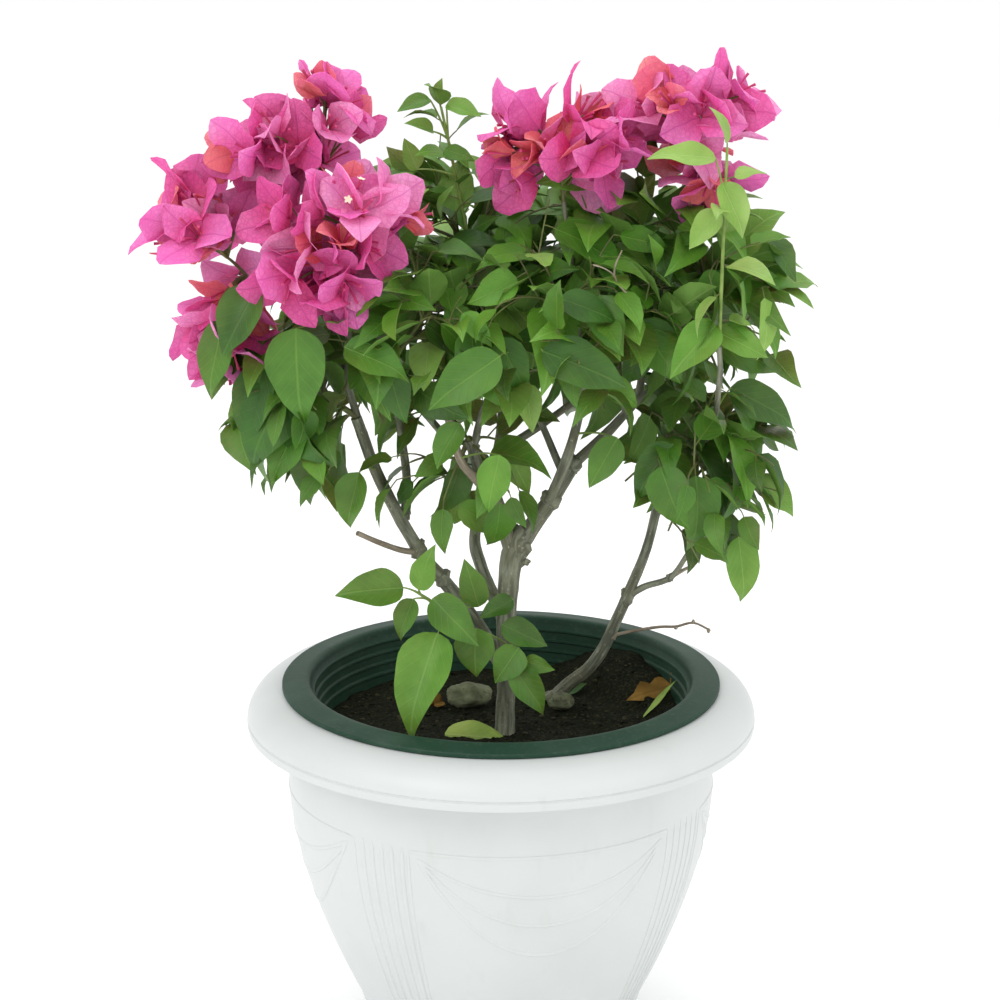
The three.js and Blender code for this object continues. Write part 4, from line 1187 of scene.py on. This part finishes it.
def add_crumbs(heap):
    """Loose crumbs of soil and bits of bark in turn, strewn over the face."""
    lump, faces = five_sided_lump()
    for i in range(CRUMBS):
        radius = CRUMB_REACH * math.sqrt(chance(i, 61))
        turn = chance(i, 62) * 2 * math.pi
        x, y = radius * math.cos(turn), radius * math.sin(turn)
        size = between(*CRUMB_SIZES, chance(i, 63) ** 2.4)
        rough = 1 + 0.35 * (np.array([[chance(i, 64, k)] for k in range(12)]) - 0.5)
        stretch = np.array([1, between(0.6, 1, chance(i, 65)), between(0.4, 0.8, chance(i, 66))])
        points = lump * rough * stretch * size
        spin = np.array(Matrix.Rotation(chance(i, 67) * 6.3, 3, "Z"))
        heap.add(points @ spin.T + (x, y, soil_height(x, y) + size * 0.25), faces, i % 2)


def stone(name, node, stretch, seed):
    """A rough stone where its node lies: a ball, cut flat below and worn by noise."""
    low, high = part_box(node)
    centre, half = (low + high) / 2, (high - low) / 2
    bpy.ops.object.select_all(action="DESELECT")
    bpy.ops.mesh.primitive_ico_sphere_add(subdivisions=5, radius=1, location=(0, 0, 0))
    piece = bpy.context.object
    piece.name = name
    for vertex in piece.data.vertices:
        way = vertex.co.normalized()
        facet = noise.noise(way * 1.3 + Vector((seed, 0, 0))) * 0.22
        grain = noise.noise(way * 7 + Vector((seed, 3, 0))) * 0.05
        size = 0.96 + facet + grain
        vertex.co = Vector([centre[k] + way[k] * half[k] * size * stretch[k] for k in range(3)])
        vertex.co.z = max(vertex.co.z, SOIL_TOP + 0.0003)
    dressed(piece, [STONE], [node], 50)


# How the leaves on the soil bend
CRUMPLED = {"droop": -0.1, "fold": 0.9, "wave": 0.13, "waves": 16, "phase": 1, "curl": 0.3, "twist": 1.1,
            "ragged": 0.42}
TORN = {"droop": -0.22, "fold": 0.4, "wave": 0.1, "waves": 13, "phase": 2.2, "curl": 0.1, "twist": -0.5,
        "ragged": 0.3}
CUPPED = {"droop": 0.12, "fold": -0.45, "wave": 0.02, "waves": 8, "phase": 2, "curl": 0.05, "twist": 0.1,
          "ragged": 0.03}
FLAT = {"droop": -0.08, "fold": 0.3, "wave": 0.02, "waves": 8, "phase": 2, "curl": 0.05, "twist": 0.3,
        "ragged": 0.02}


def shed_leaf(name, nodes, materials, slot, bend, width, ends, lean=0.2, stalk=None):
    """A shed leaf between two places, each with its lift off the soil; stalk is its stalk's way."""
    start, end = (Vector((x, y, soil_height(x, y) + lift)) for x, y, lift in ends)
    along = (end - start).normalized()
    face = square_to(along, UP + FRONT * lean)
    blade = {"base": start, "along": along, "face": face, "length": (end - start).length, "width": width}
    heap = Heap()
    add_blade(heap, OWN_GRID, LEAF_SHAPE, blade, bend, 0, 1)
    if stalk:
        add_stalk(heap, start + Vector(stalk), start, STALK_RADIUS * 1.2)
    heap.piece(name, materials, slot, nodes)


# Materials

def linear(code):
    """A colour written as sRGB hex, as linear red, green, blue and alpha."""
    values = [int(code[i:i + 2], 16) / 255 for i in (1, 3, 5)]
    return (*[v / 12.92 if v <= 0.04045 else ((v + 0.055) / 1.055) ** 2.4 for v in values], 1)


def add_node(material, kind, links=(), **settings):
    """Adds a node with its settings; links gives a value or another node's output for each socket."""
    made = material.node_tree.nodes.new(kind)
    for name, value in settings.items():
        setattr(made, name, value)
    for socket, source in links:
        if isinstance(source, bpy.types.NodeSocket):
            material.node_tree.links.new(source, made.inputs[socket])
        else:
            made.inputs[socket].default_value = source
    return made


def blank(name, roughness, **sockets):
    """A material with its shader, and the shader's plain values set on its own sockets."""
    material = bpy.data.materials.new(name)
    material.use_nodes = True
    shader = material.node_tree.nodes["Principled BSDF"]
    shader.inputs["Roughness"].default_value = roughness
    for socket, value in sockets.items():
        shader.inputs[socket.replace("_", " ")].default_value = value
    return material, shader


def grain(material, scale, detail, stretch=(1, 1, 1), coordinates="Object"):
    """Noise over the piece: scale is how many patches fill a metre, so 100 makes them 10 mm wide."""
    source = add_node(material, "ShaderNodeTexCoord").outputs[coordinates]
    mapped = add_node(material, "ShaderNodeMapping", [("Vector", source), ("Scale", stretch)])
    made = add_node(material, "ShaderNodeTexNoise", [
        ("Vector", mapped.outputs["Vector"]), ("Scale", scale), ("Detail", detail),
    ])
    return made.outputs["Fac"]


def spread(material, source, low, high, to_low=0.0, to_high=1.0):
    """A value stretched from one range to another, and held at its ends."""
    made = add_node(material, "ShaderNodeMapRange", [
        ("Value", source), ("From Min", low), ("From Max", high), ("To Min", to_low), ("To Max", to_high),
    ])
    return made.outputs["Result"]


def mixed(material, share, first, second):
    """Two colours mixed by a share; each is a hex code or another node's output."""
    made = add_node(material, "ShaderNodeMix", [("Factor", share)], data_type="RGBA")
    for socket, colour in ((6, first), (7, second)):
        if isinstance(colour, str):
            made.inputs[socket].default_value = linear(colour)
        else:
            material.node_tree.links.new(colour, made.inputs[socket])
    return made.outputs[2]


def worked(material, kind, first, second=0.0):
    """One step of arithmetic on values or other nodes' outputs."""
    made = add_node(material, "ShaderNodeMath", [(0, first), (1, second)], operation=kind)
    return made.outputs[0]


def raised(material, shader, height, distance, strength=1.0):
    """Bump on the shader: distance is the relief's height in metres."""
    made = add_node(material, "ShaderNodeBump", [
        ("Height", height), ("Distance", distance), ("Strength", strength),
    ])
    material.node_tree.links.new(made.outputs["Normal"], shader.inputs["Normal"])


def paint(material, shader, colour):
    """Gives the shader its colour from another node's output."""
    material.node_tree.links.new(colour, shader.inputs["Base Color"])


def moulded_white():
    """Polypropylene, injection moulded, satin: even white, a soft wide sheen, a little dust."""
    material, shader = blank("moulded white polypropylene", 0.42, IOR=1.49)
    dust = spread(material, grain(material, 9, 5), 0.45, 0.75, 0, 0.5)
    scuffs = spread(material, grain(material, 60, 4, (1, 1, 0.35)), 0.62, 0.78, 0, 0.2)
    colour = mixed(material, dust, "#cdd1d0", "#c1c5c2")
    paint(material, shader, mixed(material, scuffs, colour, "#b8bbb5"))
    raised(material, shader, grain(material, 900, 2), 0.00006, 0.6)
    return material


def moulded_green():
    """Recycled polyethylene, blow moulded: dark green, satin, with dried soil in its hollows."""
    material, shader = blank("moulded green polyethylene", 0.55, IOR=1.5, Specular_IOR_Level=0.3)
    dust = spread(material, grain(material, 26, 6), 0.5, 0.78, 0, 0.55)
    fine = spread(material, grain(material, 260, 4), 0.55, 0.8, 0, 0.4)
    colour = mixed(material, dust, "#173b2a", "#375341")
    paint(material, shader, mixed(material, fine, colour, "#4d584c"))
    raised(material, shader, grain(material, 700, 3), 0.0001, 0.7)
    return material


def potting_soil():
    """Peat and composted bark, damp: near black with brown crumbs, no shine."""
    material, shader = blank("damp peat and bark", 0.95, Specular_IOR_Level=0.12)
    clods = spread(material, grain(material, 90, 6), 0.35, 0.7)
    crumbs = spread(material, grain(material, 420, 4), 0.5, 0.72)
    colour = mixed(material, clods, "#0f110a", "#1b1f12")
    paint(material, shader, mixed(material, crumbs, colour, "#31321f"))
    raised(material, shader, grain(material, 330, 6), 0.0012, 0.9)
    return material


def bark_bits():
    """Composted bark chips: dry, dull brown, matt."""
    material, shader = blank("composted bark chips", 0.9, Specular_IOR_Level=0.2)
    paint(material, shader, mixed(material, grain(material, 300, 4), "#242315", "#494732"))
    raised(material, shader, grain(material, 600, 4), 0.0004)
    return material


def rough_stone():
    """Limestone, weathered: grey with a tinge of green, chalky, with soil in its pits."""
    material, shader = blank("weathered grey limestone", 0.88)
    patches = spread(material, grain(material, 60, 6), 0.38, 0.68)
    pits = spread(material, grain(material, 260, 5), 0.56, 0.74, 0, 0.8)
    colour = mixed(material, patches, "#565c42", "#83896a")
    paint(material, shader, mixed(material, pits, colour, "#363322"))
    raised(material, shader, grain(material, 240, 6), 0.0008)
    return material


def living_bark(name, dark, pale, streak):
    """Bark of a woody climber: thin, grey-brown, with pale streaks along the stem and corky dots."""
    material, shader = blank(name, 0.82)
    streaks = spread(material, grain(material, 300, 6, (1, 0.12, 1), "UV"), 0.4, 0.66)
    patches = spread(material, grain(material, 38, 5), 0.42, 0.62)
    dots = spread(material, grain(material, 480, 3, (1, 0.6, 1), "UV"), 0.62, 0.72, 0, 0.8)
    colour = mixed(material, streaks, dark, pale)
    colour = mixed(material, worked(material, "MULTIPLY", patches, 0.45), colour, streak)
    paint(material, shader, mixed(material, dots, colour, "#b5b39c"))
    raised(material, shader, grain(material, 420, 6, (1, 0.16, 1), "UV"), 0.0009)
    return material


def green_twig(name, dark, pale):
    """Young wood, one season old: smooth skin, green where it grew last."""
    material, shader = blank(name, 0.6)
    patches = spread(material, grain(material, 70, 4), 0.38, 0.64)
    paint(material, shader, mixed(material, patches, dark, pale))
    return material


def blade_skin(name, body, shade, rib, roughness, veins, sheen, net=0.0, glow=0.0, foot=None):
    """A leaf or bract: sunk veins drawn from its own sheet, a mottled body, a tinted foot.

    veins is how many side veins it has, net how strong the mesh of small ones is, glow how much light
    it lets through, and foot the tint at its foot. The mesh is drawn coarser than life, so that it shows.
    """
    material, shader = blank(name, roughness, Specular_IOR_Level=sheen, Subsurface_Weight=glow,
                             Subsurface_Scale=0.006, Subsurface_Radius=(1, 0.4, 0.65))
    place = add_node(material, "ShaderNodeTexCoord").outputs["UV"]
    parts = add_node(material, "ShaderNodeSeparateXYZ", [("Vector", place)])
    away = worked(material, "ABSOLUTE", worked(material, "SUBTRACT", parts.outputs["X"], 0.5))
    midrib = spread(material, away, 0.008, 0.03, 1, 0)
    slant = worked(material, "SUBTRACT", parts.outputs["Y"], worked(material, "MULTIPLY", away, 0.75))
    comb = worked(material, "SINE", worked(material, "MULTIPLY", slant, 2 * math.pi * veins))
    side = spread(material, comb, 0.93, 1.0, 0, 0.55)
    lines = worked(material, "MAXIMUM", midrib, side)
    if net:
        stretched = add_node(material, "ShaderNodeMapping", [("Vector", place), ("Scale", (8, 11, 1))])
        cells = add_node(material, "ShaderNodeTexVoronoi", [
            ("Vector", stretched.outputs["Vector"]), ("Scale", 1.0),
        ], feature="DISTANCE_TO_EDGE")
        mesh = spread(material, cells.outputs["Distance"], 0.0, 0.14, net, 0)
        lines = worked(material, "MAXIMUM", lines, mesh)
    mottle = spread(material, grain(material, 45, 3), 0.35, 0.68)
    colour = mixed(material, mottle, body, shade)
    if foot:
        tint = spread(material, parts.outputs["Y"], 0.05, 0.6, 0.6, 0)
        colour = mixed(material, tint, colour, foot)
    drawn = worked(material, "MULTIPLY", lines, 0.6 if net else 0.32)
    paint(material, shader, mixed(material, drawn, colour, rib))
    crinkle = worked(material, "MULTIPLY", grain(material, 190, 4), 2.2 if net else 0.7)
    raised(material, shader, worked(material, "SUBTRACT", crinkle, lines), 0.0005, 0.6)
    return material


WHITE = moulded_white()
GREEN = moulded_green()
SOIL = potting_soil()
CHIPS = bark_bits()
STONE = rough_stone()
BARK = living_bark("living grey-green bark", "#5f6353", "#9a9e89", "#6b674e")
DEAD = living_bark("dry bare wood", "#7c6f5e", "#b1a793", "#8a7f6c")
YOUNG_WOOD = green_twig("young green-brown wood", "#5f5c3c", "#6b7a3a")
SHOOT_SKIN = green_twig("soft green shoot", "#6f8a3c", "#8ba552")

# Living leaves: a waxy skin over green flesh gives a satin face that glows a little with the light
# behind it, and a paler, duller underside
LEAF_UPPER = [
    blade_skin(f"leaf upper face, {green}", *colours, dullness, 7, sheen, glow=glow)
    for green, colours, dullness, sheen, glow in (
        ("mid green", ("#3b6a1a", "#4b7d22", "#7aa242"), 0.46, 0.38, 0.12),
        ("dark green", ("#2d5516", "#3a681d", "#60883c"), 0.46, 0.38, 0.12),
        ("light green", ("#4f8420", "#61942d", "#8ab34e"), 0.48, 0.38, 0.15),
        ("young yellow-green", ("#76a23c", "#8bb24e", "#b0cc7a"), 0.5, 0.35, 0.2),
    )
]
# The light and dark greens also serve as painted light and shade: tone_of gives more pale ones high on the
# crown and more dark ones low down.
MID, DARK, LIGHT, YOUNG = range(4)
LEAF_UNDER = blade_skin("leaf underside, pale grey-green", "#5c8236", "#6a903f", "#90aa62", 0.65, 7, 0.25)

# Bracts: thin as paper and dry, so they are matt and crinkled, and much light shines through
BRACT_SKINS = [
    blade_skin(f"papery bract, {pink}", *colours, dullness, 5, 0.2, net=0.6, glow=0.45, foot=foot)
    for pink, colours, dullness, foot in (
        ("magenta pink", ("#e75ca4", "#f174b8", "#c03a88"), 0.7, "#ea4a86"),
        ("deep pink", ("#e04a90", "#ea60a0", "#b03074"), 0.7, "#e4456e"),
        ("pale pink", ("#ef7ab6", "#f793c8", "#cc509a"), 0.72, "#ee5a92"),
        ("coral just opened", ("#ec5c68", "#f27a78", "#cc4a5c"), 0.68, None),
    )
]

# Flowers: smooth rose tubes, and cream stars where they are open
TUBE_SKIN = blade_skin("flower tube, rose", "#c9407f", "#b8506c", "#a33a60", 0.6, 1, 0.2)
STAR_SKIN = blade_skin("open flower, cream", "#f3edc4", "#fbf6dc", "#dfe0a0", 0.6, 1, 0.2)

# Shed leaves: brown and dull where they are dry, yellow-green and still satin where they just fell
DRY_LEAF = blade_skin("dry leaf, brown", "#70562a", "#927139", "#4e3f22", 0.85, 6, 0.1)
SHED_LEAF = blade_skin("fallen leaf, yellow-green", "#86a548", "#a5ba5c", "#c6d38a", 0.5, 7, 0.4)


# Making the pieces

# The two finishes of the twigs
WOODY, SOFT = range(2)


def add_knot(heap, centre, radius, height):
    """A gnarled swelling: a closed ball of rings, uneven like healed wood."""
    rings, sides = 11, 16
    points = [centre + UP * radius * height, centre - UP * radius * height]
    for ring in range(1, rings):
        level = math.pi * ring / rings
        for side in range(sides):
            turn = 2 * math.pi * side / sides
            flat = math.sin(level)
            way = Vector((flat * math.cos(turn), flat * math.sin(turn), math.cos(level)))
            lump = noise.noise(way * 1.6 + centre * 90)
            grit = noise.noise(way * 5 + centre * 60)
            rough = 1 + 0.45 * lump + 0.16 * grit
            points.append(centre + Vector((way.x, way.y, way.z * height)) * radius * rough)
    faces = []
    for side in range(sides):
        onward = (side + 1) % sides
        faces.append((0, 0, 2 + side, 2 + onward))
        for ring in range(rings - 2):
            above, below = 2 + ring * sides, 2 + (ring + 1) * sides
            faces.append((above + side, below + side, below + onward, above + onward))
        last = 2 + (rings - 2) * sides
        faces.append((1, 1, last + onward, last + side))
    places = np.array([(point.x - point.y, point.z) for point in points])
    heap.add(np.array(points), np.array(faces), 0, places)


def make_bare_twigs():
    """The thin leafless twigs that fork in front of the leaves."""
    heap = Heap()
    for path in BARE_TWIGS:
        line = smooth_line([Vector(place) for place in path], 0.003)
        radii = np.linspace(*BARE_RADII, len(line))
        heap.add(*tube(line, radii, 6), 0, skin_places(line, radii, 6))
    heap.piece("bare_twigs", [DEAD], "dead_wood", (), 60)


def make_limbs():
    """Each trunk and bough: a tube with the relief of its bark, in place of its solid."""
    for name, (points, radii) in LIMB_LINES.items():
        keep = points[:, 2] > SOIL_TOP - SUNK
        sides = 20 if radii.max() > 0.005 else 14
        points, radii = points[keep], radii[keep]
        heap = Heap()
        heap.add(*tube(points, radii, sides, BARK_RELIEF), 0, skin_places(points, radii, sides))
        for place, radius, height in KNOTS.get(name, ()):
            add_knot(heap, Vector(place), radius, height)
        skin, slot = (DEAD, "dead_wood") if name.startswith(("dead", "stub")) else (BARK, "bark")
        heap.piece(name + "_bark", [skin], slot, [name], 70)


def tone_of(mass, key, height, own):
    """Which green a leaf takes: light ones at the shoots and high up, darker ones low down. Besides the
    greens' own random variety, the change with height is painted light and shade: paler on the lit top of
    the crown, darker in the shade low down.
    """
    draw = chance(key, 31)
    if own and mass["name"].startswith("leaves"):
        return MID if draw < 0.6 else DARK if draw < 0.88 else LIGHT
    if mass["name"] == "shoot_right":
        return YOUNG if draw < 0.75 else LIGHT
    if mass["name"] == "sprout_front":
        return MID if draw < 0.6 else DARK
    if mass["name"].startswith(("shoot", "sprout")):
        return LIGHT if draw < 0.35 else MID
    # Painted light and shade: the share of pale greens grows with height, so leaves on the top of the
    # crown look lit and those low down look shaded.
    pale = min(0.7, max(0.06, (height - 0.47) / 0.28))
    if draw < pale:
        return YOUNG if draw < pale * 0.12 else LIGHT
    return MID if draw < pale + (1 - pale) * 0.65 else DARK


def add_leaf(heap, stalks, mass, blade):
    """One leaf with its stalk. One that stands out has a finer grid, bends less and has no stalk here."""
    own = "own" in blade
    tone = tone_of(mass, blade["key"], blade["base"].z, own)
    bend = drawn_bend(LEAF_BEND, blade["key"])
    if own:
        bend["twist"] *= 0.4
        bend["droop"] = between(0.08, 0.24, bend["droop"])
        along = (blade["along"] + blade["face"] * bend["droop"]).normalized()
        blade = {**blade, "along": along, "face": square_to(along, blade["face"])}
    else:
        add_stalk(stalks, blade["root"], blade["base"], STALK_RADIUS)
    add_blade(heap, OWN_GRID if own else LEAF_GRID, LEAF_SHAPE, blade, bend, tone, len(LEAF_UPPER))


def add_twig(heap, twig, finish):
    """A twig, thinner towards its tip."""
    radii = np.linspace(twig.radius, twig.radius * 0.6, len(twig.points))
    heap.add(*tube(twig.points, radii, 6), finish)


def add_bloom(bracts, flowers, stalks, bloom):
    """Three bracts round an axis, each with a slender flower on its midrib; a few flowers are open."""
    axis, base, key = bloom["axis"], bloom["base"], bloom["key"]
    first = turned_about(square_to(axis, Vector((0.2, 0.9, 0.4))), axis, bloom["turn"])
    skin = int(chance(key, 21) * 3)
    spread_out, size = bloom["opening"], bloom["length"]
    if chance(key, 22) < bloom["young"]:
        skin = len(BRACT_SKINS) - 1
        spread_out, size = spread_out * YOUNG_OPENING, size * YOUNG_SIZE
    for number in range(3):
        away = turned_about(first, axis, number * 2 * math.pi / 3)
        opening = spread_out * between(0.8, 1.2, chance(key, 23, number))
        stray = Vector([chance(key, 28, number, k) - 0.5 for k in range(3)])
        along = (axis * math.cos(opening) + away * math.sin(opening) + stray * 0.5).normalized()
        length = size * between(0.85, 1.08, chance(key, 24, number))
        blade = {"base": base + away * 0.0012, "along": along, "face": square_to(along, axis),
                 "length": length, "width": length * BRACT_WIDTH}
        bend = drawn_bend(BRACT_BEND, key + number)
        add_blade(bracts, BRACT_GRID, BRACT_SHAPE, blade, bend, skin, skin)
        lean = axis * math.cos(opening * 0.45) + away * math.sin(opening * 0.45)
        tip = base + lean * between(*FLOWER_LENGTHS, chance(key, 25, number))
        line = arched_line(base + away * 0.001, tip, 0.05, 5)
        flowers.add(*tube(line, FLOWER_RADII, 6), 0)
        if chance(key, 26, number) < OPEN_SHARE:
            add_star(flowers, tip, lean, chance(key, 27, number))
    add_stalk(stalks, bloom["root"] - axis * 0.002, base, STALK_RADIUS * 1.3, 0.05)


def add_star(heap, centre, axis, turn):
    """An open flower: a shallow dish with five short lobes."""
    side = square_to(axis, Vector((0.3, 0.2, 0.9)))
    points = [tuple(centre + axis * 0.0004), tuple(centre - axis * 0.0004)]
    around = len(STAR_REACHES) * 5
    for k in range(around):
        way = turned_about(side, axis, turn * 6.3 + k * 2 * math.pi / around)
        points.append(tuple(centre + way * STAR_REACHES[k % len(STAR_REACHES)] + axis * 0.0009))
    faces = []
    for k in range(around):
        rim, onward = 2 + k, 2 + (k + 1) % around
        faces += [(0, 0, rim, onward), (1, 1, onward, rim)]
    heap.add(np.array(points), np.array(faces), 1)


def make_foliage():
    """Twigs, leaves, bracts and flowers of all the masses, each kind joined into one piece."""
    heaps = {kind: Heap() for kind in ("twigs", "leaves", "bracts", "flowers", "bloom_twigs")}
    nodes = {"leaves": [], "bracts": []}
    for seed, mass in enumerate(MASSES, 1):
        mass["seed"] = seed
        blooms = mass.get("blooms")
        nodes["bracts" if blooms else "leaves"].append(mass["name"])
        wood = heaps["bloom_twigs" if blooms else "twigs"]
        stem = mass_stem(mass)
        own, blades = own_twigs(mass, stem)
        sides = side_twigs(mass, stem)
        bearing = [stem, *sides, *finer_twigs(mass, sides)]
        grown = grow_blooms(mass, bearing) if blooms else grow_leaves(mass, bearing, blades)
        for item in grown:
            if blooms:
                add_bloom(heaps["bracts"], heaps["flowers"], wood, item)
            else:
                add_leaf(heaps["leaves"], wood, mass, item)
        used = {item.get("twig") for item in grown}
        used |= {twig.bearer for twig in bearing if twig.number in used}
        for twig in own:
            add_twig(wood, twig, SOFT)
        for twig in bearing:
            if twig is stem or twig.number in used:
                add_twig(wood, twig, SOFT if "reach" in mass else WOODY)
    heaps["leaves"].piece("foliage_leaves", [*LEAF_UPPER, LEAF_UNDER], "leaves", nodes["leaves"])
    heaps["bracts"].piece("blossom_bracts", BRACT_SKINS, "bracts", nodes["bracts"])
    heaps["flowers"].piece("blossom_flowers", [TUBE_SKIN, STAR_SKIN], "bracts")
    heaps["twigs"].piece("foliage_twigs", [YOUNG_WOOD, SHOOT_SKIN], "leaves")
    heaps["bloom_twigs"].piece("blossom_twigs", [YOUNG_WOOD], "bracts")


def make_pots():
    """The planter with its relief, the liner pot, the soil and its crumbs."""
    planter = turned_piece("planter_body", planter_section())
    dressed(planter, [WHITE], ["planter"], 35)
    planter_relief().piece("planter_festoons", [WHITE], "white_plastic", (), 60)
    liner = turned_piece("liner_wall", liner_section())
    dressed(liner, [GREEN], ["liner_pot"], 35)
    soil_heap().piece("soil_bed", [SOIL], "soil", ["soil"], 80)
    crumbs = Heap()
    add_crumbs(crumbs)
    crumbs.piece("soil_crumbs", [SOIL, CHIPS], "soil", (), 30)


def make_litter():
    """The stones and the shed leaves on the soil. The small dry one lies across its solid's box."""
    stone("stone_flat", "stone_left", (1.12, 1.05, 1.12), 1.0)
    stone("stone_small", "stone_right", (1, 1, 1.05), 5.0)
    shed_leaf("leaf_fallen_skin", ["leaf_fallen"], [SHED_LEAF, LEAF_UNDER], "shed_leaf", CUPPED, 0.03,
              [(-0.044, -0.024, 0.001), (0.006, -0.03, 0.001)], 1.2)
    shed_leaf("leaf_dry_right_skin", ["leaf_dry_right"], [DRY_LEAF, DRY_LEAF], "dry_leaf", TORN, 0.017,
              [(0.1367, 0.0486, 0.003), (0.101, 0.04, 0.001)], 0.6, (0.001, 0.002, 0.01))
    shed_leaf("leaf_dry_left_skin", ["leaf_dry_left"], [DRY_LEAF, DRY_LEAF], "dry_leaf", CRUMPLED, 0.012,
              [(corner.x, corner.y, 0.0025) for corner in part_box("leaf_dry_left")])
    shed_leaf("leaf_blade_skin", ["leaf_blade"], [SHED_LEAF, SHED_LEAF], "shed_leaf", FLAT, 0.0045,
              [(0.113, 0.008, 0.0005), (0.1404, 0.0365, 0.0148)])
    shed_leaf("leaf_small_skin", (), [LEAF_UPPER[DARK], LEAF_UNDER], "shed_leaf", FLAT, 0.009,
              [(0.053, 0.075, 0.001), (0.07, 0.073, 0.004)], 0.5)


# Floor, light and camera

def make_studio():
    """A pale floor, an even white sky and three soft lamps turned to the middle of the bush."""
    bpy.ops.object.select_all(action="DESELECT")
    bpy.ops.mesh.primitive_plane_add(size=60, location=(0, 0, 0))
    floor = bpy.context.object
    floor.name = "floor"
    material, shader = blank("pale studio floor", 0.9)
    shader.inputs["Base Color"].default_value = linear("#fdfdfd")
    floor.data.materials.append(material)
    bpy.context.scene.view_settings.view_transform = "Standard"
    world = bpy.data.worlds.new("studio")
    bpy.context.scene.world = world
    world.use_nodes = True
    sky = world.node_tree.nodes["Background"]
    sky.inputs["Color"].default_value = (1, 1, 1, 1)
    sky.inputs["Strength"].default_value = WORLD_LIGHT
    for name, place, size, power in STUDIO_LIGHTS:
        light = bpy.data.lights.new(name, "AREA")
        light.shape = "DISK"
        light.size = size
        light.energy = power
        lamp = bpy.data.objects.new(name, light)
        lamp.location = place
        lamp.rotation_euler = (LIT_PLACE - Vector(place)).to_track_quat("-Z", "Y").to_euler()
        bpy.context.collection.objects.link(lamp)


def make_camera():
    """The camera that sees the bush as the photo does."""
    camera = bpy.data.cameras.new("camera")
    camera.sensor_width = 36
    camera.lens = CAMERA_LENS
    camera.clip_end = 100
    camera.shift_x = camera.shift_y = CAMERA_SHIFT
    stand = bpy.data.objects.new("camera", camera)
    stand.location = CAMERA_PLACE
    stand.rotation_euler = (CAMERA_TILT, 0, 0)
    bpy.context.collection.objects.link(stand)
    bpy.context.scene.camera = stand


make_camera()
make_studio()
make_pots()
make_litter()
make_limbs()
make_bare_twigs()
make_foliage()
